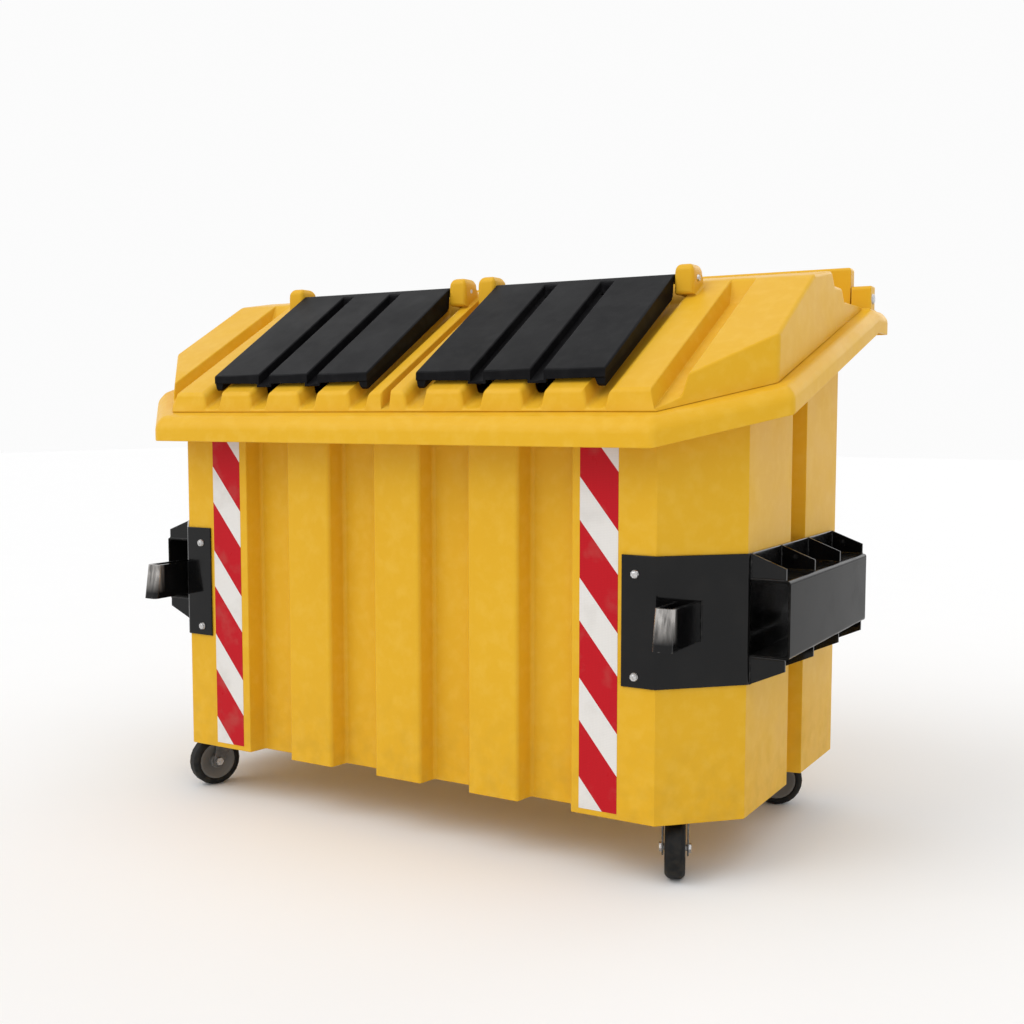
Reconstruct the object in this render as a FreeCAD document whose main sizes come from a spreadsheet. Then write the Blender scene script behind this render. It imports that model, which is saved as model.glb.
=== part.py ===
"""Wheeled plastic waste container with fork sleeves, a hinged hood and two filling flaps.

Frame: X to the right, Y to the rear, Z up, millimetres, origin on the floor under the middle.
The tub carries the steel brackets, fork sleeves, lift hooks, tapes and four swivel castors.
The hood swings on two pins at the rear of the rim, and each flap swings on a pin in the hood.
"""
import FreeCAD, Part
import math
import os

import Sketcher
from FreeCAD import Vector

SIZES = {
    # Tub
    "tub_width": 1834.0,
    "tub_depth": 893.0,
    "tub_front": 449.0,
    "tub_wall": 8.0,
    "corner_cut": 165.0,
    "rib_width": 150.0,
    "recess_width": 150.0,
    "recess_depth": 55.0,
    "recess_slant": 9.0,
    "side_recess_start": 39.0,
    "side_recess_width": 122.0,
    "side_recess_depth": 48.0,
    "base_recess": 44.0,
    "floor_thick": 10.0,
    # Rim round the mouth of the tub
    "rim_front_lift": 904.0,
    "rim_angle": 17.0,
    "rim_height": 66.0,
    "rim_bevel": 22.0,
    "rim_over_front": 98.0,
    "rim_over_side": 112.0,
    "rim_over_rear": 111.0,
    "rim_corner_cut": 248.0,
    "rim_level_end": 100.0,
    # Hood hinge at the rear
    "hood_axis_inset": 54.0,
    "hood_axis_lift": 34.0,
    "hood_lug_width": 56.0,
    "hood_lug_inset": 36.0,
    "hood_lug_depth": 48.0,
    "hood_lug_top": 37.0,
    "hood_pin_radius": 10.0,
    "hood_pin_depth": 66.0,
    "pin_head": 4.0,
    "running_clearance": 0.05,
    "side_gap": 3.0,
    # Hood
    "hood_wall": 7.0,
    "hood_seat_gap": 0.5,
    "hood_ledge": 54.0,
    "hood_corner_ledge": 48.0,
    "hood_side_ledge": 46.0,
    "hood_rear_gap": 40.0,
    "hood_lean": 5.0,
    "hood_side_lean": 1.5,
    "deck_lift": 51.5,
    "deck_angle": 30.0,
    "deck_run": 517.0,
    "roof_run": 150.0,
    "roof_angle": 8.8,
    "step_run": 68.0,
    "step_drop": 36.5,
    "step_slant": 26.0,
    "flange_thick": 10.0,
    "band_height": 126.0,
    "band_thick": 36.0,
    "band_end": 70.0,
    "groove_first": 91.5,
    "groove_pitch": 173.3,
    "groove_width": 46.0,
    "groove_draft": 13.5,
    "middle_groove": 24.0,
    "groove_run": 480.0,
    "groove_end_depth": 45.0,
    "groove_end_run": 37.0,
    # Flaps
    "flap_over": 12.0,
    "flap_front_inset": 28.2,
    "flap_front_lift": 37.4,
    "flap_angle": 32.6,
    "flap_run": 400.0,
    "flap_wall": 7.0,
    "flap_lip": 24.5,
    "flap_channel": 38.0,
    "flap_channel_depth": 28.0,
    "flap_slot": 14.0,
    "flap_slot_width": 25.0,
    "flap_slot_edge": 16.0,
    "flap_skirt_gap": 3.0,
    "flap_axis_back": 27.0,
    "flap_axis_drop": 10.0,
    "flap_barrel_radius": 13.0,
    "flap_pin_radius": 6.0,
    "flap_lug_width": 55.0,
    "flap_lug_depth": 68.0,
    "flap_lug_top": 36.0,
    "opening_margin": 46.0,
    "hood_part_gap": 4.0,
    # Steel brackets, sleeves and hooks
    "bracket_lift": 332.0,
    "bracket_height": 318.0,
    "bracket_front": 88.0,
    "bracket_rear": 400.0,
    "plate_thick": 6.0,
    "sleeve_lift": 399.0,
    "sleeve_height": 190.0,
    "sleeve_reach": 98.0,
    "sleeve_start": 6.0,
    "gusset_count": 4.0,
    "gusset_tip": 28.0,
    "gusset_inset": 11.0,
    "hook_width": 50.0,
    "hook_height": 98.0,
    "hook_lift": 444.0,
    "hook_thick": 9.0,
    "hook_lean": 16.0,
    "hook_corner": 12.0,
    "hook_over": 8.0,
    "hook_place": 0.642,
    # Fasteners
    "bolt_neck": 10.0,
    "bolt_head_radius": 9.5,
    "bolt_head_height": 6.0,
    "bolt_edge": 36.0,
    "bolt_low": 26.5,
    "bolt_high": 45.0,
    "nut_radius": 11.0,
    "nut_height": 9.0,
    "hole_clearance": 0.3,
    "plate_bolt_head": 9.0,
    "plate_bolt_head_height": 5.0,
    # Reflective tapes
    "tape_width": 103.0,
    "tape_thick": 0.6,
    "tape_bottom": 15.0,
    "tape_top": 12.0,
    "tape_edge": 22.0,
    # Castors
    "wheel_radius": 75.0,
    "wheel_width": 50.0,
    "wheel_sides": 24.0,
    "tyre_thick": 19.0,
    "tyre_round": 9.0,
    "hub_web": 16.0,
    "hub_rim": 3.0,
    "hub_boss_radius": 22.0,
    "axle_radius": 8.0,
    "wheel_top_gap": 2.0,
    "castor_trail": 40.0,
    "castor_side_inset": 167.0,
    "castor_front_inset": 137.0,
    "castor_rear_inset": 118.0,
    "front_heading": 22.0,
    "rear_heading": 110.0,
    "castor_plate_length": 110.0,
    "castor_plate_width": 90.0,
    "castor_plate_thick": 6.0,
    "plate_hole_x": 84.0,
    "plate_hole_y": 64.0,
    "bearing_radius": 34.0,
    "bearing_height": 12.0,
    "bearing_gap": 0.4,
    "fork_thick": 4.0,
    "fork_gap": 4.0,
    "fork_crown": 36.0,
    "fork_foot": 18.0,
    "axle_head": 12.0,
    "axle_head_height": 6.0,
}

SIDES = {"left": -1, "right": 1}
CASTORS = {"fl": (-1, -1), "fr": (1, -1), "rl": (-1, 1), "rr": (1, 1)}
RECESSES_PER_HALF = 2
GROOVES_PER_HALF = 5
FLAP_GROOVES = 3
UP = Vector(0, 0, 1)
ALONG_X = Vector(1, 0, 0)
ALONG_Y = Vector(0, 1, 0)
FAR = 3000.0
OVERLAP = 1.0

doc = FreeCAD.newDocument("waste_container")
sheet = doc.addObject("Spreadsheet::Sheet", "Sizes")
nodes = []


def fill_sheet():
    """Write the driving sizes into the sheet, one named cell each."""
    for row, (name, value) in enumerate(SIZES.items(), start=1):
        sheet.set(f"A{row}", name)
        sheet.set(f"B{row}", str(value))
        sheet.setAlias(f"B{row}", name)
    doc.recompute()


def size(name):
    """Number in the sheet's cell of that name."""
    return float(sheet.get(name))


def tangent(name):
    """Slope of an angle held in the sheet."""
    return math.tan(math.radians(size(name)))


# Places worked out from the driving sizes
def tub_bottom():
    return 2 * size("wheel_radius") + size("wheel_top_gap")


def floor_under():
    return tub_bottom() + size("base_recess")


def tub_half():
    return size("tub_width") / 2


def tub_rear():
    return size("tub_depth") - size("tub_front")


def rim_front():
    return -size("tub_front") - size("rim_over_front")


def rim_rear():
    return tub_rear() + size("rim_over_rear")


def rim_half():
    return tub_half() + size("rim_over_side")


def rim_level_start():
    return rim_rear() - size("rim_level_end")


def rim_bottom(y):
    """Height of the rim's lower edge: rising to the rear, then level."""
    run = min(y, rim_level_start()) - rim_front()
    return tub_bottom() + size("rim_front_lift") + run * tangent("rim_angle")


def rim_top(y):
    return rim_bottom(y) + size("rim_height")


def hood_axis():
    y = rim_rear() - size("hood_axis_inset")
    return y, rim_top(y) + size("hood_axis_lift")


def hood_front():
    return rim_front() + size("hood_ledge")


def hood_half():
    return rim_half() - size("hood_side_ledge")


def deck_height(y):
    """Height of the ribbed deck's plane, which rises from the hood's front to the ridge."""
    start = rim_top(hood_front()) + size("deck_lift")
    return start + (y - hood_front()) * tangent("deck_angle")


def ridge():
    return hood_front() + size("deck_run")


def step_end():
    """Rear edge of the step behind the roof."""
    return ridge() + size("roof_run") + size("step_slant") + size("step_run")


def band_half():
    return rim_half() - size("hood_lug_inset") - size("hood_lug_width")


def groove_centres():
    return [size("groove_first") + size("groove_pitch") * k for k in range(GROOVES_PER_HALF)]


def flap_span():
    """Inner and outer edge of a flap, measured from the middle of the hood."""
    centres = groove_centres()
    return centres[0] - size("flap_over"), centres[FLAP_GROOVES] + size("flap_over")


def flap_front():
    return hood_front() + size("flap_front_inset")


def flap_rear():
    return flap_front() + size("flap_run")


def flap_height(y):
    """Height of a closed flap's upper plane."""
    start = deck_height(flap_front()) + size("flap_front_lift")
    return start + (y - flap_front()) * tangent("flap_angle")


def flap_axis():
    return flap_rear() + size("flap_axis_back"), flap_height(flap_rear()) - size("flap_axis_drop")


# Geometry helpers
def add_node(label, shape, placement=None):
    """Sub-part whose form comes from several bodies cut from each other."""
    node = doc.addObject("Part::Feature", label)
    node.Label = label
    node.Shape = shape
    node.Placement = placement or FreeCAD.Placement()
    nodes.append(node)
    return node


def inset(points, gap):
    """Closed anticlockwise outline moved inwards by gap, which is one number or one for each edge."""
    moved = []
    count = len(points)
    gaps = gap if isinstance(gap, list) else [gap] * count
    for index in range(count):
        here = points[index]
        lines = []
        for number in (index - 1, index):
            start, end = points[number], points[(number + 1) % count]
            length = math.dist(start, end)
            normal = ((start[1] - end[1]) / length, (end[0] - start[0]) / length)
            lines.append((normal, normal[0] * here[0] + normal[1] * here[1] + gaps[number]))
        (first, reach_a), (second, reach_b) = lines
        scale = first[0] * second[1] - first[1] * second[0]
        moved.append(((reach_a * second[1] - reach_b * first[1]) / scale,
                      (first[0] * reach_b - second[0] * reach_a) / scale))
    return moved


def face_xy(points, z):
    corners = [Vector(x, y, z) for x, y in points]
    return Part.Face(Part.makePolygon(corners + corners[:1]))


def prism(points, low, high):
    """Upright solid on a plan outline."""
    return face_xy(points, low).extrude(UP * (high - low))


def ring_solid(rings):
    """Flat-sided solid through rings of corners, each with as many corners."""
    count = len(rings[0])
    faces = [Part.Face(Part.makePolygon(ring + ring[:1])) for ring in (rings[0], rings[-1])]
    for low, high in zip(rings, rings[1:]):
        for index in range(count):
            after = (index + 1) % count
            corners = [low[index], low[after], high[after], high[index]]
            faces.append(Part.Face(Part.makePolygon(corners + corners[:1])))
    shell = Part.Shell(faces)
    shell.sewShape()
    solid = Part.Solid(shell)
    return solid if solid.Volume > 0 else solid.reversed()


def side_prism(points, left, right):
    """Solid along X from an outline in the YZ plane."""
    corners = [Vector(left, y, z) for y, z in points]
    return Part.Face(Part.makePolygon(corners + corners[:1])).extrude(ALONG_X * (right - left))


def front_prism(points, start, run, slope):
    """Solid from an outline in the XZ plane, swept rearwards along a slope."""
    corners = [Vector(x, start, z) for x, z in points]
    way = Vector(0, run, run * slope)
    return Part.Face(Part.makePolygon(corners + corners[:1])).extrude(way)


def rod(radius, left, right, y, z):
    """Round bar along X."""
    return Part.makeCylinder(radius, right - left, Vector(left, y, z), ALONG_X)


def mirrored(points):
    """Right half of an outline completed with its left half."""
    return points + [(-x, y) for x, y in reversed(points)]


def mirror_x(shape):
    return shape.mirror(Vector(0, 0, 0), ALONG_X)


def polygon_bar(sides, radius, height, base, way):
    """Bar with equal sides, from its base along a direction."""
    turn = FreeCAD.Rotation(UP, way)
    corners = []
    for index in range(sides):
        angle = 2 * math.pi * (index + 0.5) / sides
        corners.append(base + turn.multVec(Vector(radius * math.cos(angle), radius * math.sin(angle), 0)))
    return Part.Face(Part.makePolygon(corners + corners[:1])).extrude(way * height)


def lug_outline(y, z, depth, top, foot):
    """Lug outline in the YZ plane round a pin, with bevelled upper corners and a foot in its base."""
    half = depth / 2
    flat = half * 2 / 3
    shoulder = z + top - half + flat
    return [(y - half, z - foot), (y + half, z - foot), (y + half, shoulder), (y + flat, z + top),
            (y - flat, z + top), (y - half, shoulder)]


# Tub
def tub_outline():
    """Plan of the tub, anticlockwise, with recesses between upright ribs and cut front corners."""
    front, rear, half = -size("tub_front"), tub_rear(), tub_half()
    depth, slant = size("recess_depth"), size("recess_slant")
    front_half, rear_half = [], []
    for index in range(RECESSES_PER_HALF):
        start = size("rib_width") / 2 + index * (size("rib_width") + size("recess_width"))
        end = start + size("recess_width")
        steps = ((start, 0), (start + slant, depth), (end - slant, depth), (end, 0))
        front_half += [(x, front + inward) for x, inward in steps]
        rear_half += [(x, rear - inward) for x, inward in steps]
    begin = size("side_recess_start")
    finish = begin + size("side_recess_width")
    hollow = half - size("side_recess_depth")
    side = [(half - size("corner_cut"), front), (half, front + size("corner_cut")), (half, begin),
            (hollow, begin + slant), (hollow, finish - slant), (half, finish), (half, rear)]
    right = front_half + side + rear_half[::-1]
    return mirrored(right)


def rim_outline(gap):
    """Plan of the rim, moved inwards by gap."""
    cut = size("rim_corner_cut")
    right = [(rim_half() - cut, rim_front()), (rim_half(), rim_front() + cut), (rim_half(), rim_rear())]
    return inset(mirrored(right), gap)


def rim_solid(gap, drop, bevel, below):
    """Solid under the rim's sloping top: moved in by gap, lowered by drop, with a bevelled top edge."""
    kink = rim_level_start()
    start, end = rim_front() - FAR, rim_rear() + FAR
    lift = size("rim_height") - drop
    level = rim_bottom(kink)
    nose = rim_bottom(start)
    outline = [(start, nose - below), (kink, level - below), (end, level - below),
               (end, level + lift), (kink, level + lift), (start, nose + lift)]
    block = prism(rim_outline(gap), 0, FAR).common(side_prism(outline, -FAR, FAR))
    edges = [edge for edge in block.Edges if is_rim_edge(edge, gap, drop)]
    return block.makeChamfer(bevel, edges)


def is_rim_edge(edge, gap, drop):
    """True for an upper outer edge of the rim's solid at its front, corners or sides."""
    ends = [vertex.Point for vertex in edge.Vertexes]
    on_top = all(abs(p.z - rim_top(p.y) + drop) < OVERLAP / 10 for p in ends)
    across = abs(ends[0].y - ends[1].y) < OVERLAP / 10
    inner = across and any(abs(ends[0].y - y) < OVERLAP for y in (rim_level_start(), rim_rear() - gap))
    return on_top and not inner


def tub_bolt_places():
    """Points and outward directions of the bracket bolts on the right side of the tub."""
    base = tub_bottom() + size("bracket_lift")
    low = base + size("bolt_low")
    high = base + size("bracket_height") - size("bolt_high")
    x = tub_half() - size("corner_cut") - size("bracket_front") + size("bolt_edge")
    places = [(Vector(x, -size("tub_front"), z), Vector(0, -1, 0)) for z in (low, high)]
    stations = gusset_stations()
    for first, second in ((0, 1), (2, 3)):
        middle = (stations[first] + stations[second]) / 2
        places += [(Vector(tub_half(), middle, z), ALONG_X) for z in (low, high)]
    return places


def bolt_necks(grow, start, length):
    """Square bars through the bracket bolt places of both sides, each side moved out by grow."""
    corner = (size("bolt_neck") / 2 + grow) * math.sqrt(2)
    bars = []
    for point, way in tub_bolt_places():
        bar = polygon_bar(4, corner, length, point + way * start, way)
        bars += [bar, mirror_x(bar)]
    return bars


def above_rim_base():
    """Space above the sloping plane of the rim's lower edge."""
    kink = rim_level_start()
    start, end = rim_front() - FAR / 10, rim_rear() + FAR / 10
    base = [(y, rim_bottom(y)) for y in (start, kink, end)]
    outline = [*base, (end, FAR), (start, FAR)]
    return side_prism(outline, -FAR, FAR)


def rim_lugs():
    """Two hinge lugs on the rim's rear end, bored for the hood pins."""
    y, z = hood_axis()
    start = band_half() + size("side_gap")
    end = start + size("hood_lug_width")
    foot = size("hood_axis_lift") + size("tub_wall") / 2
    lug = side_prism(lug_outline(y, z, size("hood_lug_depth"), size("hood_lug_top"), foot), start, end)
    bore_radius = size("hood_pin_radius") + size("running_clearance")
    lug = lug.cut(rod(bore_radius, start - OVERLAP, end + OVERLAP, y, z))
    return [lug, mirror_x(lug)]


def build_tub():
    """Moulded tub: ribbed walls with bolt holes, raised floor, and a hollow rim with two hinge lugs."""
    wall = size("tub_wall")
    plan = tub_outline()
    outer = prism(plan, tub_bottom(), FAR)
    rim = rim_solid(0, 0, size("rim_bevel"), 0)
    inner_bevel = size("rim_bevel") - (2 - math.sqrt(2)) * wall
    under_rim = rim_solid(wall, wall, inner_bevel, FAR).cut(outer)
    below_top = rim_solid(0, 0, size("rim_bevel"), FAR)
    shell = outer.common(below_top).fuse(rim).cut(under_rim)
    shell = shell.cut(prism(inset(plan, wall), 0, FAR))
    above = above_rim_base()
    holes = bolt_necks(size("hole_clearance"), -2 * wall, 4 * wall)
    add_node("tub_shell", shell.cut([above, *holes]).removeSplitter())
    add_node("tub_rim", shell.common(above).fuse(rim_lugs()).removeSplitter())
    floor = prism(inset(plan, wall), floor_under(), floor_under() + size("floor_thick"))
    add_node("tub_floor", floor)


# Hood
def hood_body(gap):
    """Leaning block on the hood's plan, moved inwards by gap."""
    rear = hood_axis()[0] - size("hood_rear_gap")
    ledge, corner, side = size("hood_ledge"), size("hood_corner_ledge"), size("hood_side_ledge")
    ledges = [edge + gap for edge in (corner, side, ledge, side, corner, ledge)]
    plan = [(x, min(y, rear - gap)) for x, y in rim_outline(ledges)]
    low = rim_top(hood_front())
    rise = rim_top(rear) + size("band_height") - low
    lean, side_lean = rise * tangent("hood_lean"), rise * tangent("hood_side_lean")
    high_plan = inset(plan, [lean, side_lean, 0, side_lean, lean, lean])
    levels = ((plan, low - rise), (plan, low), (high_plan, low + rise))
    return ring_solid([[Vector(x, y, z) for x, y in points] for points, z in levels])


def hood_profile():
    """Side outline of the hood above the rim, from the front face to the level flange, anticlockwise."""
    front = hood_front()
    top = ridge()
    roof_end = top + size("roof_run")
    roof_high = deck_height(top) + size("roof_run") * tangent("roof_angle")
    step = roof_high - size("step_drop")
    step_start = roof_end + size("step_slant")
    flange = rim_top(rim_rear()) + size("flange_thick")
    flange_start = step_end() + size("step_slant")
    end = flange_start + FAR
    nose = front - FAR
    roof = [(step_end(), step), (step_start, step), (roof_end, roof_high), (top, deck_height(top))]
    below = [(nose, deck_height(nose)), (nose, -FAR), (end, -FAR)]
    return [(end, flange), (flange_start, flange), *roof, *below]


def above_rim():
    """Space above the seat of the hood on the rim."""
    kink = rim_level_start()
    seat = size("hood_seat_gap")
    start, end = rim_front() - FAR / 10, rim_rear() + FAR / 10
    outline = [(start, rim_bottom(start) + size("rim_height") + seat), (kink, rim_top(kink) + seat),
               (end, rim_top(end) + seat), (end, FAR), (start, FAR)]
    return side_prism(outline, -FAR, FAR)


def deck_grooves(grow):
    """Cutters for the grooves between the deck's ribs, each side moved out by grow.

    A groove starts level with the ledge, widens upwards from its floor and ends in a short steep face.
    """
    start = hood_front() - size("hood_ledge")
    floor = rim_top(hood_front()) + size("hood_seat_gap") + size("hood_wall")
    end = hood_front() + size("groove_run")
    end_floor = deck_height(end) - size("groove_end_depth")
    slope = (end_floor - floor) / size("groove_run")
    finish = end + size("groove_end_run")
    outline = [(start, floor - size("hood_ledge") * slope), (end, end_floor), (finish, deck_height(finish)),
               (finish + FAR, deck_height(finish + FAR)), (start, FAR)]
    outline = inset(outline, -grow)
    middle = size("middle_groove") / 2 + grow
    cutters = [side_prism(outline, -middle, middle)]
    depth, draft = size("groove_end_depth"), tangent("groove_draft")
    base = floor - size("hood_ledge") * slope - depth / 2
    low = size("groove_width") / 2 - depth / 2 * draft
    high = low + 3 * depth * draft
    for x in groove_centres():
        top = base + 3 * depth
        section = [(x - low, base), (x + low, base), (x + high, top), (x - high, top)]
        sweep = front_prism(inset(section, -grow), start - grow, 2 * size("groove_run"), slope)
        cutter = sweep.common(side_prism(outline, x - FAR, x + FAR))
        cutters += [cutter, mirror_x(cutter)]
    return cutters


def band_outline():
    """Side outline of the hood's rear band, cut at its lower rear corner to clear the rim as it swings."""
    y, z = hood_axis()
    half = size("band_thick") / 2
    seat = rim_top(y) + size("hood_seat_gap")
    start = y - 2 * half
    flange = seat + size("flange_thick") - size("hood_seat_gap")
    top = rim_top(y) + size("band_height")
    rise = z - math.sqrt((z - seat) ** 2 - half ** 2) + size("hood_seat_gap")
    return [(start - half, seat), (y, seat), (y + half, rise), (y + half, top), (y - half, top),
            (y - half, flange), (start - half, flange)]


def band_hollow():
    """Hollow of the rear band, open below and closed by the solid ends that hold the pins."""
    y, z = hood_axis()
    half = size("band_thick") / 2 - size("hood_wall")
    top = rim_top(y) + size("band_height") - size("hood_wall")
    outline = [(y - half, 0), (y, 0), (y, z), (y + half, z), (y + half, top), (y - half, top)]
    reach = band_half() - size("band_end")
    return side_prism(outline, -reach, reach)


def flap_lugs():
    """Four lugs on the deck, one pair for each flap."""
    y, z = flap_axis()
    foot = z - deck_height(y) + size("hood_wall")
    inner, outer = flap_span()
    gap, width = size("side_gap"), size("flap_lug_width")
    outline = lug_outline(y, z, size("flap_lug_depth"), size("flap_lug_top"), foot)
    lugs = []
    for start in (inner - gap - width, outer + gap):
        lug = side_prism(outline, start, start + width)
        lugs += [lug, mirror_x(lug)]
    return lugs


def flap_openings():
    """Cutters for the two filling openings under the flaps."""
    inner, outer = flap_span()
    margin = size("opening_margin")
    wide = outer - inner - 2 * margin
    long = size("flap_run") - 2 * margin
    corner = Vector(inner + margin, flap_front() + margin, rim_top(hood_front()))
    box = Part.makeBox(wide, long, FAR, corner)
    return [box, mirror_x(box)]


def hood_parts():
    """Boxes that part the hood at the sides of its openings and behind its step, by the name of the node."""
    inner, outer = flap_span()
    margin = size("opening_margin") + size("hood_part_gap")
    near, far = inner + margin, outer - margin
    back = step_end() + 2 * size("hood_part_gap")
    spans = {"hood_middle": (-near, near), "hood_bay_left": (-far, -near), "hood_bay_right": (near, far),
             "hood_end_left": (-FAR, -far), "hood_end_right": (far, FAR)}
    parts = {name: Part.makeBox(end - start, FAR + back, FAR, Vector(start, -FAR, 0))
             for name, (start, end) in spans.items()}
    parts["hood_rear"] = Part.makeBox(2 * FAR, FAR, FAR, Vector(-FAR, back, 0))
    return parts


def build_hood():
    """Moulded hood: sloping ribbed deck with two openings, roof, rear band and flap lugs."""
    wall = size("hood_wall")
    profile = side_prism(hood_profile(), -FAR, FAR)
    outer = hood_body(0).common(profile).cut(deck_grooves(0))
    inner_profile = side_prism(inset(hood_profile(), wall), -FAR, FAR)
    inner = hood_body(wall).common(inner_profile).cut(deck_grooves(wall))
    band = side_prism(band_outline(), -band_half(), band_half())
    lugs = flap_lugs()
    shell = outer.common(above_rim()).cut(inner)
    shell = shell.fuse(band).cut(band_hollow())
    shell = shell.cut(flap_openings()).fuse(lugs)
    y, z = flap_axis()
    fit = size("running_clearance")
    reach = hood_half()
    shell = shell.cut(rod(size("flap_pin_radius") + fit, -reach, reach, y, z))
    y, z = hood_axis()
    pin_bore = rod(size("hood_pin_radius") + fit, band_half() - size("hood_pin_depth") - OVERLAP,
                   band_half() + OVERLAP, y, z)
    shell = shell.cut([pin_bore, mirror_x(pin_bore)])
    shell = shell.removeSplitter()
    for name, box in hood_parts().items():
        add_node(name, shell.common(box))


# Flaps
def flap_wedge(gap, drop, below):
    """Wedge under a flap's upper plane, moved in by gap on each side, with top and base lowered."""
    inner, outer = flap_span()
    low_front = flap_height(flap_front()) - size("flap_lip")
    low_rear = deck_height(flap_rear()) + size("flap_skirt_gap")
    rise = gap * (low_rear - low_front) / size("flap_run")
    front, rear = flap_front() + gap, flap_rear() - gap
    outline = [(front, low_front + rise - below), (rear, low_rear - rise - below),
               (rear, flap_height(rear) - drop), (front, flap_height(front) - drop)]
    return side_prism(outline, inner + gap, outer - gap)


def flap_strip(start, end, low, high, run):
    """Bar along a flap's slope, from start to end across and from low to high below the upper plane."""
    top = flap_height(flap_front())
    outline = [(start, top - low), (end, top - low), (end, top - high), (start, top - high)]
    return front_prism(outline, flap_front(), run, tangent("flap_angle"))


def build_flaps():
    """Two moulded flaps: skirted wedges with sunk channels and a hinge barrel along the rear edge."""
    inner, outer = flap_span()
    wall, depth, run = size("flap_wall"), size("flap_channel_depth"), size("flap_run")
    half = size("flap_channel") / 2
    centres = groove_centres()[1:FLAP_GROOVES]
    ribs = [flap_strip(x - half - wall, x + half + wall, depth + wall, 0, run) for x in centres]
    hollow = flap_wedge(wall, wall, FAR).cut(ribs)
    shape = flap_wedge(0, 0, 0).cut(hollow).fuse(ribs)
    edge = size("flap_slot_edge")
    channels = [flap_strip(x - half, x + half, depth, -wall, run - edge) for x in centres]
    slot, width = size("flap_slot"), size("flap_slot_width")
    corner = flap_rear() - edge - slot
    slots = [Part.makeBox(width, slot, FAR, Vector(x - width / 2, corner, 0)) for x in centres]
    y, z = flap_axis()
    radius = size("flap_barrel_radius")
    arm_start = flap_rear() - wall
    arm = [(arm_start, flap_height(arm_start) - radius), (y, z - radius), (y, z + radius),
           (flap_rear(), flap_height(flap_rear())), (arm_start, flap_height(arm_start))]
    barrel = [side_prism(arm, inner, outer), rod(radius, inner, outer, y, z)]
    bore = rod(size("flap_pin_radius") + size("running_clearance"), inner - OVERLAP, outer + OVERLAP, y, z)
    shape = shape.fuse(barrel).cut([*channels, *slots]).cut(bore).removeSplitter()
    add_node("flap_right", shape)
    add_node("flap_left", mirror_x(shape))


# Pins
def pin(label, length, radius, x, y, z, turn):
    """Steel hinge pin along X with a flat head at its outer end; its sizes are bound to the sheet."""
    shank = doc.addObject("Part::Cylinder", label + "_shank")
    shank.setExpression("Radius", f"Sizes.{radius}")
    shank.Height = length
    head = doc.addObject("Part::Cone", label + "_head")
    head.setExpression("Radius1", f"Sizes.{radius} * 1.5")
    head.setExpression("Radius2", f"Sizes.{radius} * 1.2")
    head.setExpression("Height", "Sizes.pin_head")
    head.Placement.Base = Vector(0, 0, length)
    whole = doc.addObject("Part::Fuse", label)
    whole.Base = shank
    whole.Tool = head
    whole.Label = label
    whole.Placement = FreeCAD.Placement(Vector(x, y, z), FreeCAD.Rotation(ALONG_Y, turn))
    nodes.append(whole)


def build_pins():
    """Two hood pins in the rim's lugs and one long pin through each flap's lugs."""
    y, z = hood_axis()
    start = band_half() - size("hood_pin_depth")
    length = size("hood_pin_depth") + size("side_gap") + size("hood_lug_width")
    inner, outer = flap_span()
    flap_y, flap_z = flap_axis()
    flap_start = inner - size("side_gap") - size("flap_lug_width")
    flap_length = outer - inner + 2 * (size("side_gap") + size("flap_lug_width"))
    for name, side in SIDES.items():
        pin(f"hood_pin_{name}", length, "hood_pin_radius", side * start, y, z, side * 90)
        pin(f"flap_pin_{name}", flap_length, "flap_pin_radius", side * flap_start, flap_y, flap_z,
            side * 90)


# Outline sketches bound to the sheet
def outline_body(label, role, corners):
    """Body with a closed sketch whose corners are pairs of sheet formulas."""
    body = doc.addObject("PartDesign::Body", label)
    body.Label = label
    sketch = body.newObject("Sketcher::SketchObject", label + "_outline")
    plane = next(item for item in body.Origin.OriginFeatures if item.Role == role)
    sketch.AttachmentSupport = [(plane, "")]
    sketch.MapMode = "FlatFace"
    count = len(corners)
    turns = [2 * math.pi * index / count for index in range(count)]
    spread = [Vector(math.cos(turn), math.sin(turn), 0) for turn in turns]
    for index in range(count):
        sketch.addGeometry(Part.LineSegment(spread[index], spread[(index + 1) % count]))
    for index in range(count):
        sketch.addConstraint(Sketcher.Constraint("Coincident", index, 2, (index + 1) % count, 1))
    for index, formulas in enumerate(corners):
        for kind, formula in zip(("DistanceX", "DistanceY"), formulas):
            number = sketch.addConstraint(Sketcher.Constraint(kind, -1, 1, index, 1, 1.0))
            sketch.setExpression(f"Constraints[{number}]", formula)
    return body, sketch


def pad(body, sketch, formula):
    """Straight pad of a sketch with its length bound to the sheet."""
    feature = body.newObject("PartDesign::Pad", body.Label + "_pad")
    feature.Profile = sketch
    feature.setExpression("Length", formula)
    return feature


# Steelwork
def bracket_corners(side):
    """Plan of the wrapped bracket plate: front flange, cut corner and side, one plate thick."""
    half, front, cut = "Sizes.tub_width / 2", "-Sizes.tub_front", "Sizes.corner_cut"
    thick, bend = "Sizes.plate_thick", "Sizes.plate_thick * tan(22.5)"
    flange = f"{half} - {cut} - Sizes.bracket_front"
    rear, skin = "Sizes.bracket_rear", f"{half} + {thick}"
    corners = [(flange, front), (f"{half} - {cut}", front), (half, f"{front} + {cut}"), (half, rear),
               (skin, rear), (skin, f"{front} + {cut} - {bend}"),
               (f"{half} - {cut} + {bend}", f"{front} - {thick}"), (flange, f"{front} - {thick}")]
    return [(f"{side} * ({x})", y) for x, y in corners]


def gusset_stations():
    """Places along Y of the gusset plates, from the front of the sleeve to its rear."""
    start = -size("tub_front") + size("corner_cut") + size("sleeve_start")
    end = size("bracket_rear") - size("plate_thick")
    count = int(size("gusset_count"))
    return [start + (end - start) * index / (count - 1) for index in range(count)]


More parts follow.
